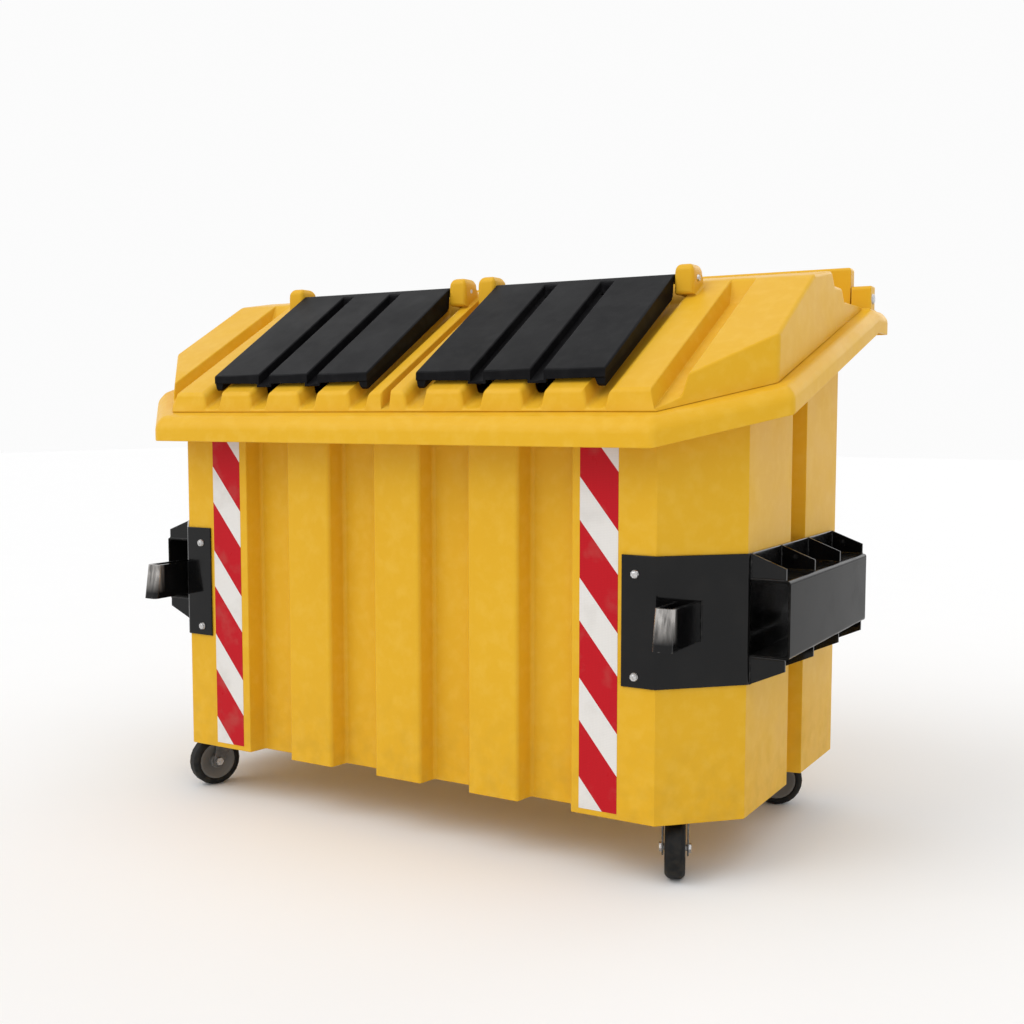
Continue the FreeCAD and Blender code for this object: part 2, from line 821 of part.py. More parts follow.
def gusset_plates():
    """Upper and lower gusset plates on the right side of the tub."""
    inner = tub_half() + size("plate_thick")
    tip = inner + size("sleeve_reach") - size("gusset_inset")
    bottom = tub_bottom() + size("bracket_lift")
    top = bottom + size("bracket_height")
    floor = tub_bottom() + size("sleeve_lift")
    roof = floor + size("sleeve_height")
    upper = [(inner, roof), (tip, roof), (tip, roof + size("gusset_tip")), (inner, top)]
    lower = [(inner, bottom), (tip, floor - size("gusset_tip")), (tip, floor), (inner, floor)]
    return [front_prism(outline, y, size("plate_thick"), 0)
            for y in gusset_stations() for outline in (upper, lower)]


def sleeve_corners(side):
    """Section of the fork sleeve: a channel open towards the bracket plate."""
    thick = "Sizes.plate_thick"
    inner = f"Sizes.tub_width / 2 + {thick}"
    outer = f"{inner} + Sizes.sleeve_reach"
    low = "2 * Sizes.wheel_radius + Sizes.wheel_top_gap + Sizes.sleeve_lift"
    high = f"{low} + Sizes.sleeve_height"
    corners = [(inner, low), (outer, low), (outer, high), (inner, high), (inner, f"{high} - {thick}"),
               (f"{outer} - {thick}", f"{high} - {thick}"), (f"{outer} - {thick}", f"{low} + {thick}"),
               (inner, f"{low} + {thick}")]
    return [(f"{side} * ({x})", z) for x, z in corners]


def strap_outline(centre, half, nose, corner, root):
    """Plan of a strap bent to a U, filled, with round corners at its nose."""
    bend = corner * (1 - math.sqrt(0.5))
    right = [(half - corner, 0), (half - bend, bend), (half, corner), (half, root + FAR / 10 - nose)]
    nose_right, mid_right, side_right, far_right = [Vector(centre + x, nose + y, 0) for x, y in right]
    nose_left, mid_left, side_left, far_left = [Vector(centre - x, nose + y, 0) for x, y in right]
    lines = [Part.LineSegment(far_left, side_left), Part.Arc(side_left, mid_left, nose_left),
             Part.LineSegment(nose_left, nose_right), Part.Arc(nose_right, mid_right, side_right),
             Part.LineSegment(side_right, far_right), Part.LineSegment(far_right, far_left)]
    return Part.Face(Part.Wire([line.toShape() for line in lines]))


def hook_shape():
    """Lift hook on the right cut corner: a strap bent to a U, leaning back, welded to the bracket."""
    half, thick = size("hook_width") / 2, size("hook_thick")
    cut = size("corner_cut")
    base = tub_half() - cut * size("hook_place") + half
    centre = base - half
    plate_skew = size("plate_thick") * math.sqrt(2)
    root = -size("tub_front") + centre - (tub_half() - cut) - plate_skew
    nose, corner = rim_front() - size("hook_over"), size("hook_corner")
    straps = [strap_outline(centre, half, nose, corner, root),
              strap_outline(centre, half - thick, nose + thick, max(corner - thick, OVERLAP), root)]
    way = Vector(0, size("hook_lean"), size("hook_height"))
    strap = straps[0].extrude(way).cut(straps[1].extrude(way))
    strap.translate(UP * (tub_bottom() + size("hook_lift")))
    start = tub_half() - cut - FAR / 10
    skin = -size("tub_front") - FAR / 10 - plate_skew
    behind = [(start, skin), (start + FAR, skin + FAR), (start + FAR, FAR), (start, FAR)]
    return strap.cut(prism(behind, 0, FAR))


def build_steelwork():
    """Brackets, fork sleeves, gussets and lift hooks on both sides."""
    low = tub_bottom() + size("bracket_lift")
    holes = bolt_necks(size("hole_clearance"), -size("tub_wall"), 4 * size("tub_wall"))
    gussets = gusset_plates()
    hook = hook_shape()
    stations = gusset_stations()
    for name, side in SIDES.items():
        body, sketch = outline_body(f"bracket_blank_{name}", "XY_Plane", bracket_corners(side))
        pad(body, sketch, "Sizes.bracket_height")
        doc.recompute()
        blank = body.Shape.copy()
        blank.translate(UP * low)
        add_node(f"side_bracket_{name}", blank.cut(holes).removeSplitter())
        body, sketch = outline_body(f"fork_sleeve_{name}", "XZ_Plane", sleeve_corners(side))
        run = pad(body, sketch,
                  "Sizes.bracket_rear + Sizes.tub_front - Sizes.corner_cut - Sizes.sleeve_start")
        run.Reversed = True
        body.Placement.Base = Vector(0, stations[0], 0)
        nodes.append(body)
        plates = gussets if side > 0 else [mirror_x(plate) for plate in gussets]
        add_node(f"sleeve_gussets_{name}", Part.makeCompound(plates))
        add_node(f"lift_hook_{name}", hook if side > 0 else mirror_x(hook))


def build_fasteners():
    """Bracket bolts with eight-sided heads, square necks and hexagon nuts inside the tub."""
    thick, wall, nut = size("plate_thick"), size("tub_wall"), size("nut_height")
    inside = wall + nut / 2
    bolts = []
    for neck, (point, way) in zip(bolt_necks(0, -inside, thick + inside)[::2], tub_bolt_places()):
        head = polygon_bar(8, size("bolt_head_radius"), size("bolt_head_height"), point + way * thick, way)
        ring = polygon_bar(6, size("nut_radius"), nut, point - way * (wall + nut), way)
        bolt = neck.fuse([head, ring]).removeSplitter()
        bolts += [bolt, mirror_x(bolt)]
    add_node("bracket_bolts", Part.makeCompound(bolts))


def build_tapes():
    """Two upright strips of striped tape on the front corner panels."""
    bottom = "2 * Sizes.wheel_radius + Sizes.wheel_top_gap"
    outer = "Sizes.tub_width / 2 - Sizes.corner_cut - Sizes.bracket_front"
    inner = f"({outer} - Sizes.tape_edge / 2 - Sizes.tape_width)"
    for name, side in SIDES.items():
        tape = doc.addObject("Part::Box", f"reflective_tape_{name}")
        tape.Label = f"reflective_tape_{name}"
        tape.setExpression("Length", "Sizes.tape_width")
        tape.setExpression("Width", "Sizes.tape_thick")
        tape.setExpression("Height", "Sizes.rim_front_lift + Sizes.rim_over_front * tan(Sizes.rim_angle)"
                                     " - Sizes.tape_bottom - Sizes.tape_top")
        place = inner if side > 0 else f"-{inner} - Sizes.tape_width"
        tape.setExpression("Placement.Base.x", place)
        tape.setExpression("Placement.Base.y", "-Sizes.tub_front - Sizes.tape_thick")
        tape.setExpression("Placement.Base.z", f"{bottom} + Sizes.tape_bottom")
        nodes.append(tape)


# Castors
def castor_place(label):
    """Swivel axis of a castor in plan."""
    side, end = CASTORS[label]
    x = side * (tub_half() - size("castor_side_inset"))
    if end < 0:
        return x, size("castor_front_inset") - size("tub_front")
    return x, tub_rear() - size("castor_rear_inset")


def castor_turn(label):
    """Rest heading of a castor: the angle of its axle from X."""
    side, end = CASTORS[label]
    return side * size("front_heading" if end < 0 else "rear_heading")


def castor_frame(label, z):
    x, y = castor_place(label)
    return FreeCAD.Placement(Vector(x, y, z), FreeCAD.Rotation(UP, castor_turn(label)))


def wheel_solid(stations):
    """Many-sided solid round the axle through pairs of a place along the axle and a radius."""
    count = int(size("wheel_sides"))
    y, z = -size("castor_trail"), size("wheel_radius")
    turns = [2 * math.pi * index / count for index in range(count)]
    spokes = [Vector(0, math.sin(turn), -math.cos(turn)) for turn in turns]
    return ring_solid([[Vector(x, y, z) + spoke * radius for spoke in spokes] for x, radius in stations])


def tyre_shape():
    """Solid tyre with bevelled shoulders."""
    wide, out, soft = size("wheel_width") / 2, size("wheel_radius"), size("tyre_round")
    bore = out - size("tyre_thick")
    ring = wheel_solid([(-wide, out - soft), (soft - wide, out), (wide - soft, out), (wide, out - soft)])
    return ring.cut(wheel_solid([(-wide - OVERLAP, bore), (wide + OVERLAP, bore)]))


def hub_shape():
    """Wheel disc: boss round the axle bore, dished web on both sides and a narrow rim in the tyre."""
    wide = size("wheel_width") / 2
    out = size("wheel_radius") - size("tyre_thick")
    edge, boss = wide - size("tyre_round") / 3, size("hub_boss_radius")
    disc = wheel_solid([(-edge, out), (edge, out)])
    for side in (-1, 1):
        mouth = (side * (edge + OVERLAP), out - size("hub_rim"))
        disc = disc.cut(wheel_solid([(side * size("hub_web") / 2, boss), mouth]))
    disc = disc.fuse(wheel_solid([(-wide, boss), (wide, boss)]))
    bore = rod(size("axle_radius") + size("running_clearance"), -2 * wide, 2 * wide, -size("castor_trail"),
               size("wheel_radius"))
    return disc.cut(bore).removeSplitter()


def fork_shape():
    """Pressed fork: crown plate under the bearing and two tapering legs down to the axle."""
    inner = size("wheel_width") / 2 + size("fork_gap")
    thick, crown = size("fork_thick"), size("fork_crown")
    top = fork_top()
    axle, foot = size("wheel_radius"), size("fork_foot")
    trail = -size("castor_trail")
    outer = inner + thick
    leg = [(trail - foot, axle), (trail - foot / 2, axle - foot), (trail + foot / 2, axle - foot),
           (trail + foot, axle), (crown, top - thick), (crown, top), (-crown, top), (-crown, top - thick)]
    legs = [side_prism(leg, inner, outer), side_prism(leg, -outer, -inner)]
    plate = Part.makeBox(2 * outer, 2 * crown, thick, Vector(-outer, -crown, top - thick))
    fork = plate.fuse(legs)
    hole = rod(size("axle_radius") + size("hole_clearance"), -2 * outer, 2 * outer, trail, axle)
    king_hole = king_radius() + size("hole_clearance")
    king = Part.makeCylinder(king_hole, 2 * thick, Vector(0, 0, top - 1.5 * thick))
    return fork.cut([hole, king]).removeSplitter()


def fork_top():
    return floor_under() - size("castor_plate_thick") - size("bearing_height") - size("bearing_gap")


def king_radius():
    return size("bearing_radius") / 4


def castor_plate(label):
    """Castor plate under the tub's floor, with bevelled corners and the hexagon heads of its four bolts."""
    x, y = castor_place(label)
    length, width = size("castor_plate_length"), size("castor_plate_width")
    thick = size("castor_plate_thick")
    low = floor_under() - thick
    plate = Part.makeBox(length, width, thick, Vector(x - length / 2, y - width / 2, low))
    corners = [edge for edge in plate.Edges if abs(edge.tangentAt(edge.FirstParameter).z) > 0.5]
    rise = size("plate_bolt_head_height")
    heads = []
    for across in (-size("plate_hole_x") / 2, size("plate_hole_x") / 2):
        for along in (-size("plate_hole_y") / 2, size("plate_hole_y") / 2):
            base = Vector(x + across, y + along, low - rise)
            heads.append(polygon_bar(6, size("plate_bolt_head"), rise + thick / 2, base, UP))
    return plate.makeChamfer(width / 9, corners).fuse(heads).removeSplitter()


def bearing_shape():
    """Swivel bearing: a ring under the castor plate with the kingpin and its nut below."""
    thick, gap = size("fork_thick"), size("bearing_gap")
    ring = polygon_bar(24, size("bearing_radius"), size("bearing_height"), Vector(), UP)
    king = polygon_bar(12, king_radius(), size("bearing_height") + 2 * thick, UP * (-2 * thick), UP)
    nut = polygon_bar(6, 1.6 * king_radius(), thick - gap, UP * (-2 * thick - gap), UP)
    return ring.fuse([king, nut]).removeSplitter()


def axle_shape():
    """Axle bolt through the fork with a hexagon at each end."""
    inner = size("wheel_width") / 2 + size("fork_gap") + size("fork_thick")
    trail, axle = -size("castor_trail"), size("wheel_radius")
    head = size("axle_head_height")
    bar = rod(size("axle_radius"), -inner - head / 2, inner + head / 2, trail, axle)
    ends = [polygon_bar(6, size("axle_head"), head, Vector(start, trail, axle), ALONG_X)
            for start in (-inner - head, inner)]
    return bar.fuse(ends).removeSplitter()


def build_castors():
    """Four swivel castors: plate, bearing with kingpin, fork, axle, tyre and wheel disc."""
    shapes = {"castor_fork": fork_shape(), "castor_axle": axle_shape(), "tyre": tyre_shape(),
              "wheel_hub": hub_shape()}
    bearing = bearing_shape()
    for label in CASTORS:
        add_node(f"castor_plate_{label}", castor_plate(label))
        add_node(f"castor_bearing_{label}", bearing, castor_frame(label, fork_top() + size("bearing_gap")))
        for name, shape in shapes.items():
            add_node(f"{name}_{label}", shape, castor_frame(label, 0))


def check_and_export():
    """Stop on any failed object or bad shape, then write each sub-part to its own file."""
    doc.recompute()
    for item in doc.Objects:
        if "Invalid" in item.State or "Error" in item.State:
            raise RuntimeError(f"{item.Label} failed: {item.State}")
    for node in nodes:
        if node.Shape.isNull() or not node.Shape.isValid():
            raise RuntimeError(f"{node.Label} has a bad shape")
    os.makedirs("parts", exist_ok=True)
    for node in nodes:
        node.Shape.exportStep(f"parts/{node.Label}.step")
        print(f"{node.Label}: {len(node.Shape.Solids)} solid(s), {node.Shape.Volume / 1e6:.3f} litres")


fill_sheet()
build_tub()
build_hood()
build_flaps()
build_pins()
build_steelwork()
build_fasteners()
build_tapes()
build_castors()
check_and_export()
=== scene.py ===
"""Looks of a wheeled waste container with fork sleeves, a hinged hood and two filling flaps.

The solids stay as they are built. This script rounds the edges of the mouldings and plates, domes the hood's
lugs, adds weld beads, domed bolt heads and lips at the flaps' sides, gives each piece a procedural finish
and sets up the studio.
"""
import logging
import math
from dataclasses import dataclass, replace
from enum import Enum, IntEnum

import bmesh
import bpy
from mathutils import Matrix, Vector


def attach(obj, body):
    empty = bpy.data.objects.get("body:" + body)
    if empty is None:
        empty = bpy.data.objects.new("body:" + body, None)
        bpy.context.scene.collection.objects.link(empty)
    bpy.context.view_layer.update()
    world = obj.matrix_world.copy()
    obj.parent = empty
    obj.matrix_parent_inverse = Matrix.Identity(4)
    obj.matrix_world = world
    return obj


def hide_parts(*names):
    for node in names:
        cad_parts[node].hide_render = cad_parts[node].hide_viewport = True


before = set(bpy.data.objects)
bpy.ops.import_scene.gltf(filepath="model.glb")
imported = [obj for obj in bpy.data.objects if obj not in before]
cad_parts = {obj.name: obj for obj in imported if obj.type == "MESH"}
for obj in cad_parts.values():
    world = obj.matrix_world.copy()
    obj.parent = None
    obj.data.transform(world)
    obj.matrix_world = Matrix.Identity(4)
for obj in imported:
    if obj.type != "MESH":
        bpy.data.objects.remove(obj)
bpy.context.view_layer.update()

LOG = logging.getLogger("waste_container")

OCCLUSION_SAMPLES = 6
# Metres within which a corner lies in a plane, an edge is square to a line and an edge meets a point.
FLUSH, SQUARE, TOUCHING = 1e-4, 1e-9, 1e-6

Colour = tuple[float, float, float, float]
Triple = tuple[float, float, float]
Lines = list[tuple[Vector, Vector]]
Socket = bpy.types.NodeSocket
Material = bpy.types.Material
Edge = bmesh.types.BMEdge


class Side(Enum):
    """The two sides of the container, with the sign of X on each."""

    LEFT = -1
    RIGHT = 1

    @property
    def word(self) -> str:
        """Ending of the names of the nodes on this side."""
        return self.name.lower()


class Castor(Enum):
    """The four castors, named as in the solids."""

    FRONT_LEFT = "fl"
    FRONT_RIGHT = "fr"
    REAR_LEFT = "rl"
    REAR_RIGHT = "rr"


class Axis(IntEnum):
    """Axes of the shared frame by their place in a vector."""

    X = 0
    Y = 1
    Z = 2


class Tree:
    """Node tree whose nodes are added and linked by short calls."""

    def __init__(self, tree: bpy.types.NodeTree) -> None:
        """Take over a tree to add nodes to."""
        self.tree = tree

    def feed(self, target: Socket, value: object) -> None:
        """Link a socket to the target, or set the target to a plain value.

        Args:
            target: input socket.
            value: output socket or plain value.
        """
        if isinstance(value, Socket):
            self.tree.links.new(value, target)
        else:
            target.default_value = value

    def node(self, kind: str, settings: dict[str, object] | None = None, **feeds: object) -> bpy.types.Node:
        """Add a node and feed its inputs.

        Args:
            kind: type of the node.
            settings: settings of the node by name.
            feeds: values or sockets by input name, with _ for a space.

        Returns:
            The node.
        """
        node = self.tree.nodes.new(kind)
        for name, value in (settings or {}).items():
            setattr(node, name, value)
        for name, value in feeds.items():
            self.feed(node.inputs[name.replace("_", " ")], value)
        return node

    def sum(self, kind: str, first: object, second: object) -> Socket:
        """One arithmetic step.

        Args:
            kind: operation of the math node.
            first: first value.
            second: second value.

        Returns:
            The result.
        """
        node = self.node("ShaderNodeMath", {"operation": kind})
        self.feed(node.inputs[0], first)
        self.feed(node.inputs[1], second)
        return node.outputs["Value"]

    def span(self, value: Socket, start: float, end: float, low: float, high: float) -> Socket:
        """Map a range of values to another one, held at its ends.

        Args:
            value: socket to map.
            start: value that gives low.
            end: value that gives high.
            low: result at start.
            high: result at end.

        Returns:
            The mapped value.
        """
        node = self.node("ShaderNodeMapRange", Value=value, From_Min=start, From_Max=end, To_Min=low,
                         To_Max=high)
        return node.outputs["Result"]


class Graph(Tree):
    """Shader nodes of one material, over the object's own coordinates."""

    def __init__(self, name: str) -> None:
        """Start an empty material.

        Args:
            name: name of the material.
        """
        self.material = bpy.data.materials.new(name)
        self.material.use_nodes = True
        super().__init__(self.material.node_tree)
        self.tree.nodes.clear()
        self.coords = self.node("ShaderNodeTexCoord").outputs["Object"]
        self.shader = self.node("ShaderNodeBsdfPrincipled")
        self.node("ShaderNodeOutputMaterial", Surface=self.shader.outputs["BSDF"])

    def noise(self, scale: float, detail: float = 3.0, stretch: Triple = (1.0, 1.0, 1.0)) -> Socket:
        """Cloudy noise.

        Args:
            scale: size of the pattern, in cells per metre.
            detail: number of finer layers.
            stretch: factor on each axis.

        Returns:
            The noise value, about 0.5 on average.
        """
        mapping = self.node("ShaderNodeMapping", Vector=self.coords, Scale=stretch).outputs["Vector"]
        return self.node("ShaderNodeTexNoise", Vector=mapping, Scale=scale, Detail=detail).outputs["Fac"]

    def cells(self, scale: float, feature: str = "F1", scatter: float = 1.0) -> Socket:
        """Distances in a pattern of cells.

        Args:
            scale: size of the pattern, in cells per metre.
            feature: what the distance is measured to.
            scatter: 0 for regular cells, up to 1 for scattered ones.

        Returns:
            The distance value.
        """
        node = self.node("ShaderNodeTexVoronoi", {"feature": feature}, Vector=self.coords, Scale=scale,
                         Randomness=scatter)
        return node.outputs["Distance"]

    def mix(self, share: object, first: object, second: object) -> Socket:
        """Blend two colours.

        Args:
            share: part of the second colour.
            first: colour at 0.
            second: colour at 1.

        Returns:
            The blended colour.
        """
        node = self.node("ShaderNodeMix", {"data_type": "RGBA"}, Factor=share, A=first, B=second)
        return node.outputs["Result"]

    def place(self) -> tuple[Socket, ...]:
        """X, Y and Z of the object's own coordinates."""
        split = self.node("ShaderNodeSeparateXYZ", Vector=self.coords)
        return tuple(split.outputs[axis.name] for axis in Axis)

    def openness(self, reach: float, inside: bool) -> Socket:
        """Ambient occlusion over a short distance.

        Args:
            reach: distance in metres that counts as near.
            inside: look into the piece, at its own faces alone.

        Returns:
            1 where no face is near, falling towards 0 where faces close in.
        """
        settings = {"inside": inside, "only_local": inside, "samples": OCCLUSION_SAMPLES}
        return self.node("ShaderNodeAmbientOcclusion", settings, Distance=reach).outputs["AO"]

    def edges(self, reach: float) -> Socket:
        """Mask of open edges: 0 on flat faces, rising towards 1 at sharp outer edges within the reach."""
        return self.span(self.openness(reach, True), 0.55, 0.92, 1.0, 0.0)

    def corners(self, reach: float) -> Socket:
        """Mask of inner corners for painted shade: 0 on open faces, rising towards 1 in tight corners."""
        return self.span(self.openness(reach, False), 0.25, 0.85, 1.0, 0.0)

    def bump(self, height: Socket, strength: float, depth: float) -> None:
        """Bump the surface by a height value.

        Args:
            height: value to read as height.
            strength: share of the effect.
            depth: height in metres that a value of 1 stands for.
        """
        node = self.node("ShaderNodeBump", Strength=strength, Distance=depth, Height=height)
        self.feed(self.shader.inputs["Normal"], node.outputs["Normal"])

    def finish(self, colour: object, roughness: object, metal: object = 0.0, specular: float = 0.5
               ) -> Material:
        """Feed the shader and hand over the material.

        Args:
            colour: base colour.
            roughness: roughness value.
            metal: metallic value.
            specular: specular level.

        Returns:
            The finished material.
        """
        for name, value in (("Base Color", colour), ("Roughness", roughness), ("Metallic", metal),
                            ("Specular IOR Level", specular)):
            self.feed(self.shader.inputs[name], value)
        return self.material


@dataclass(frozen=True)
class MouldedPlastic:
    """Moulded plastic: one colour through and through, finely pebbled, dusty low down, with painted shade in
    inner corners.
    """

    name: str
    colour: Colour
    shade: Colour
    scuff: Colour
    # Colour of the dust low down, also used for the painted shade in inner corners.
    dust: Colour
    roughness: float
    pebble_depth: float = 0.00025
    pebble_scale: float = 420.0
    pebble_strength: float = 0.35
    cloud_scale: float = 2.6
    scratch_scale: float = 16.0
    scratch_stretch: Triple = (0.6, 0.6, 5.0)
    edge_reach: float = 0.012
    edge_wear: float = 2.2
    corner_reach: float = 0.05
    dust_top: float = 0.0
    dust_base: float = 0.0
    wear: float = 0.12
    shine: float = 0.4

    def build(self) -> Material:
        """Make the material.

        Returns:
            The plastic's material.
        """
        graph = Graph(self.name)
        cloud = graph.noise(self.cloud_scale, 4.0)
        tone = graph.mix(graph.span(cloud, 0.35, 0.7, 0.0, 1.0), self.colour, self.shade)
        scratch = graph.noise(self.scratch_scale, 6.0, self.scratch_stretch)
        rubbed = graph.span(scratch, 0.62, 0.78, 0.0, self.wear)
        chafed = graph.span(graph.noise(30.0), 0.45, 0.7, 0.0, self.edge_wear * self.wear)
        edge = graph.sum("MULTIPLY", graph.edges(self.edge_reach), chafed)
        tone = graph.mix(graph.sum("MAXIMUM", rubbed, edge), tone, self.scuff)
        # Painted shade: inner corners found by occlusion darken in patches towards the dust colour; real
        # dust specks low down join it.
        patches = graph.span(graph.noise(9.0, 5.0), 0.3, 0.75, 0.05, 0.3)
        grime_and_shade = graph.sum("MULTIPLY", graph.corners(self.corner_reach), patches)
        if self.dust_top > self.dust_base:
            low = graph.span(graph.place()[Axis.Z], self.dust_base, self.dust_top, 1.0, 0.0)
            specks = graph.span(graph.noise(22.0, 8.0), 0.42, 0.72, 0.0, 0.22)
            grime_and_shade = graph.sum("MAXIMUM", grime_and_shade, graph.sum("MULTIPLY", low, specks))
        tone = graph.mix(grime_and_shade, tone, self.dust)
        gloss = graph.span(graph.noise(7.0, 5.0), 0.3, 0.7, self.roughness - 0.06, self.roughness + 0.08)
        graph.bump(graph.noise(self.pebble_scale, 2.0), self.pebble_strength, self.pebble_depth)
        gloss = graph.sum("ADD", gloss, graph.sum("MULTIPLY", grime_and_shade, 0.5))
        return graph.finish(tone, gloss, specular=self.shine)


@dataclass(frozen=True)
class Rub:
    """Painted highlight: a bright, metallic bare-steel zone at the front of a hook, put where the light
    catches its end.
    """

    front: float
    back: float
    low: float
    high: float
    # Colour of the painted highlight.
    bare: Colour
    streak_scale: float = 90.0
    streak_stretch: Triple = (1.0, 1.0, 0.12)

    def mask(self, graph: Graph) -> Socket:
        """Streaky share of the painted highlight.

        Args:
            graph: nodes of the material.

        Returns:
            0 under whole paint, up to 1 where the bright metallic highlight is painted.
        """
        _, depth, height = graph.place()
        near = graph.span(depth, self.front, self.back, 1.0, 0.0)
        raised = graph.span(height, self.low, self.high, 0.0, 1.0)
        streaks = graph.span(graph.noise(self.streak_scale, 4.0, self.streak_stretch), 0.35, 0.6, 0.3, 1.0)
        return graph.sum("MULTIPLY", graph.sum("MULTIPLY", near, raised), streaks)


@dataclass(frozen=True)
class PaintedSteel:
    """Steel under gloss paint, with a slight orange peel, chips at the edges, a film of dust and, where
    given, a painted highlight.
    """

    name: str
    colour: Colour
    chip: Colour
    dust: Colour
    roughness: float
    chips: float = 0.5
    chip_reach: float = 0.003
    peel_scale: float = 150.0
    peel_strength: float = 0.12
    peel_depth: float = 0.0004
    shine: float = 0.24
    # Optional painted highlight: a bright metallic patch at the front of the piece.
    rub: Rub | None = None

    def build(self) -> Material:
        """Make the material.

        Returns:
            The paint's material.
        """
        graph = Graph(self.name)
        spots = graph.span(graph.noise(60.0, 6.0), 0.56, 0.66, 0.0, self.chips)
        worn = graph.sum("MULTIPLY", graph.edges(self.chip_reach), spots)
        dusty = graph.span(graph.noise(12.0, 7.0), 0.5, 0.8, 0.0, 0.12)
        tone = graph.mix(dusty, graph.mix(worn, self.colour, self.chip), self.dust)
        gloss = graph.span(graph.noise(9.0, 4.0), 0.3, 0.7, self.roughness - 0.05, self.roughness + 0.1)
        gloss = graph.sum("ADD", gloss, graph.sum("MULTIPLY", graph.sum("ADD", worn, dusty), 0.6))
        graph.bump(graph.noise(self.peel_scale, 2.0), self.peel_strength, self.peel_depth)
        # Painted highlight: blend in the bright metallic patch, a little rougher.
        bare = self.rub.mask(graph) if self.rub else 0.0
        if self.rub:
            tone = graph.mix(bare, tone, self.rub.bare)
            gloss = graph.sum("ADD", gloss, graph.sum("MULTIPLY", bare, 0.2))
        return graph.finish(tone, gloss, metal=bare, specular=self.shine)


@dataclass(frozen=True)
class PlatedSteel:
    """Zinc-plated or galvanised steel with a soft crystal pattern, dull patches and painted shade in inner
    corners.
    """

    name: str
    colour: Colour
    # Dull tone of the grain and patches, also used for the painted corner shade.
    dull: Colour
    roughness: float
    crystal: float
    corner_reach: float = 0.01
    grain_scale: float = 700.0
    grain_strength: float = 0.3
    grain_depth: float = 0.0001

    def build(self) -> Material:
        """Make the material.

        Returns:
            The plating's material.
        """
        graph = Graph(self.name)
        grain = graph.span(graph.cells(self.crystal), 0.0, 0.8, 0.0, 1.0)
        patch = graph.span(graph.noise(25.0, 5.0), 0.45, 0.7, 0.0, 0.7)
        # Dull patches, plus painted shade: inner corners found by occlusion turn towards the dull colour and
        # rougher.
        grime_and_shade = graph.sum("MAXIMUM", patch, graph.sum("MULTIPLY", graph.corners(self.corner_reach), 0.8))
        tone = graph.mix(grime_and_shade, graph.mix(grain, self.colour, self.dull), self.dull)
        gloss = graph.span(grime_and_shade, 0.0, 1.0, self.roughness, self.roughness + 0.25)
        graph.bump(graph.noise(self.grain_scale, 2.0), self.grain_strength, self.grain_depth)
        return graph.finish(tone, gloss, metal=1.0)


@dataclass(frozen=True)
class StripedFilm:
    """Reflective film with slanting red and white stripes over a fine honeycomb."""

    name: str
    red: Colour
    white: Colour
    edge_x: float
    white_base: float
    period: float = 0.246
    white_part: float = 0.425
    slope: float = 1.243
    cell: float = 260.0
    cell_scatter: float = 0.15
    red_wall: float = 0.8
    white_wall: float = 0.88
    comb_strength: float = 0.15
    comb_depth: float = 0.0001
    dirt: Colour = (0.30, 0.26, 0.20, 1.0)
    shine: float = 0.1

    def build(self) -> Material:
        """Make the material.

        Returns:
            The film's material.
        """
        graph = Graph(self.name)
        across, _, up = graph.place()
        run = graph.sum("MULTIPLY", graph.sum("SUBTRACT", across, self.edge_x), self.slope)
        along = graph.sum("SUBTRACT", graph.sum("ADD", up, run), self.white_base)
        phase = graph.sum("FRACT", graph.sum("DIVIDE", along, self.period), 0.0)
        is_red = graph.sum("GREATER_THAN", phase, self.white_part)
        walls = graph.cells(self.cell, "DISTANCE_TO_EDGE", self.cell_scatter)
        comb = graph.span(walls, 0.0, 0.12, 0.0, 1.0)
        red = graph.mix(comb, tuple(self.red_wall * part for part in self.red[:3]) + (1.0,), self.red)
        white = graph.mix(
            comb, tuple(self.white_wall * part for part in self.white[:3]) + (1.0,), self.white)
        tone = graph.mix(is_red, white, red)
        dirt = graph.span(graph.noise(14.0, 7.0), 0.52, 0.8, 0.0, 0.22)
        tone = graph.mix(dirt, tone, self.dirt)
        graph.bump(comb, self.comb_strength, self.comb_depth)
        gloss = graph.span(graph.noise(20.0, 4.0), 0.3, 0.7, 0.26, 0.42)
        return graph.finish(tone, gloss, specular=self.shine)


@dataclass(frozen=True)
class SolidRubber:
    """Matt rubber with a fine grain and dust on the tread."""

    name: str
    colour: Colour
    dust: Colour
    tread_top: float
    grain_scale: float = 520.0
    grain_strength: float = 0.4
    grain_depth: float = 0.0003
    shine: float = 0.15

    def build(self) -> Material:
        """Make the material.

        Returns:
            The rubber's material.
        """
        graph = Graph(self.name)
        specks = graph.span(graph.noise(45.0, 8.0), 0.45, 0.75, 0.0, 0.45)
        low = graph.span(graph.place()[Axis.Z], 0.0, self.tread_top, 1.0, 0.25)
        dusty = graph.sum("MULTIPLY", specks, low)
        tone = graph.mix(dusty, self.colour, self.dust)
        graph.bump(graph.noise(self.grain_scale, 3.0), self.grain_strength, self.grain_depth)
        return graph.finish(tone, graph.span(dusty, 0.0, 0.4, 0.55, 0.85), specular=self.shine)


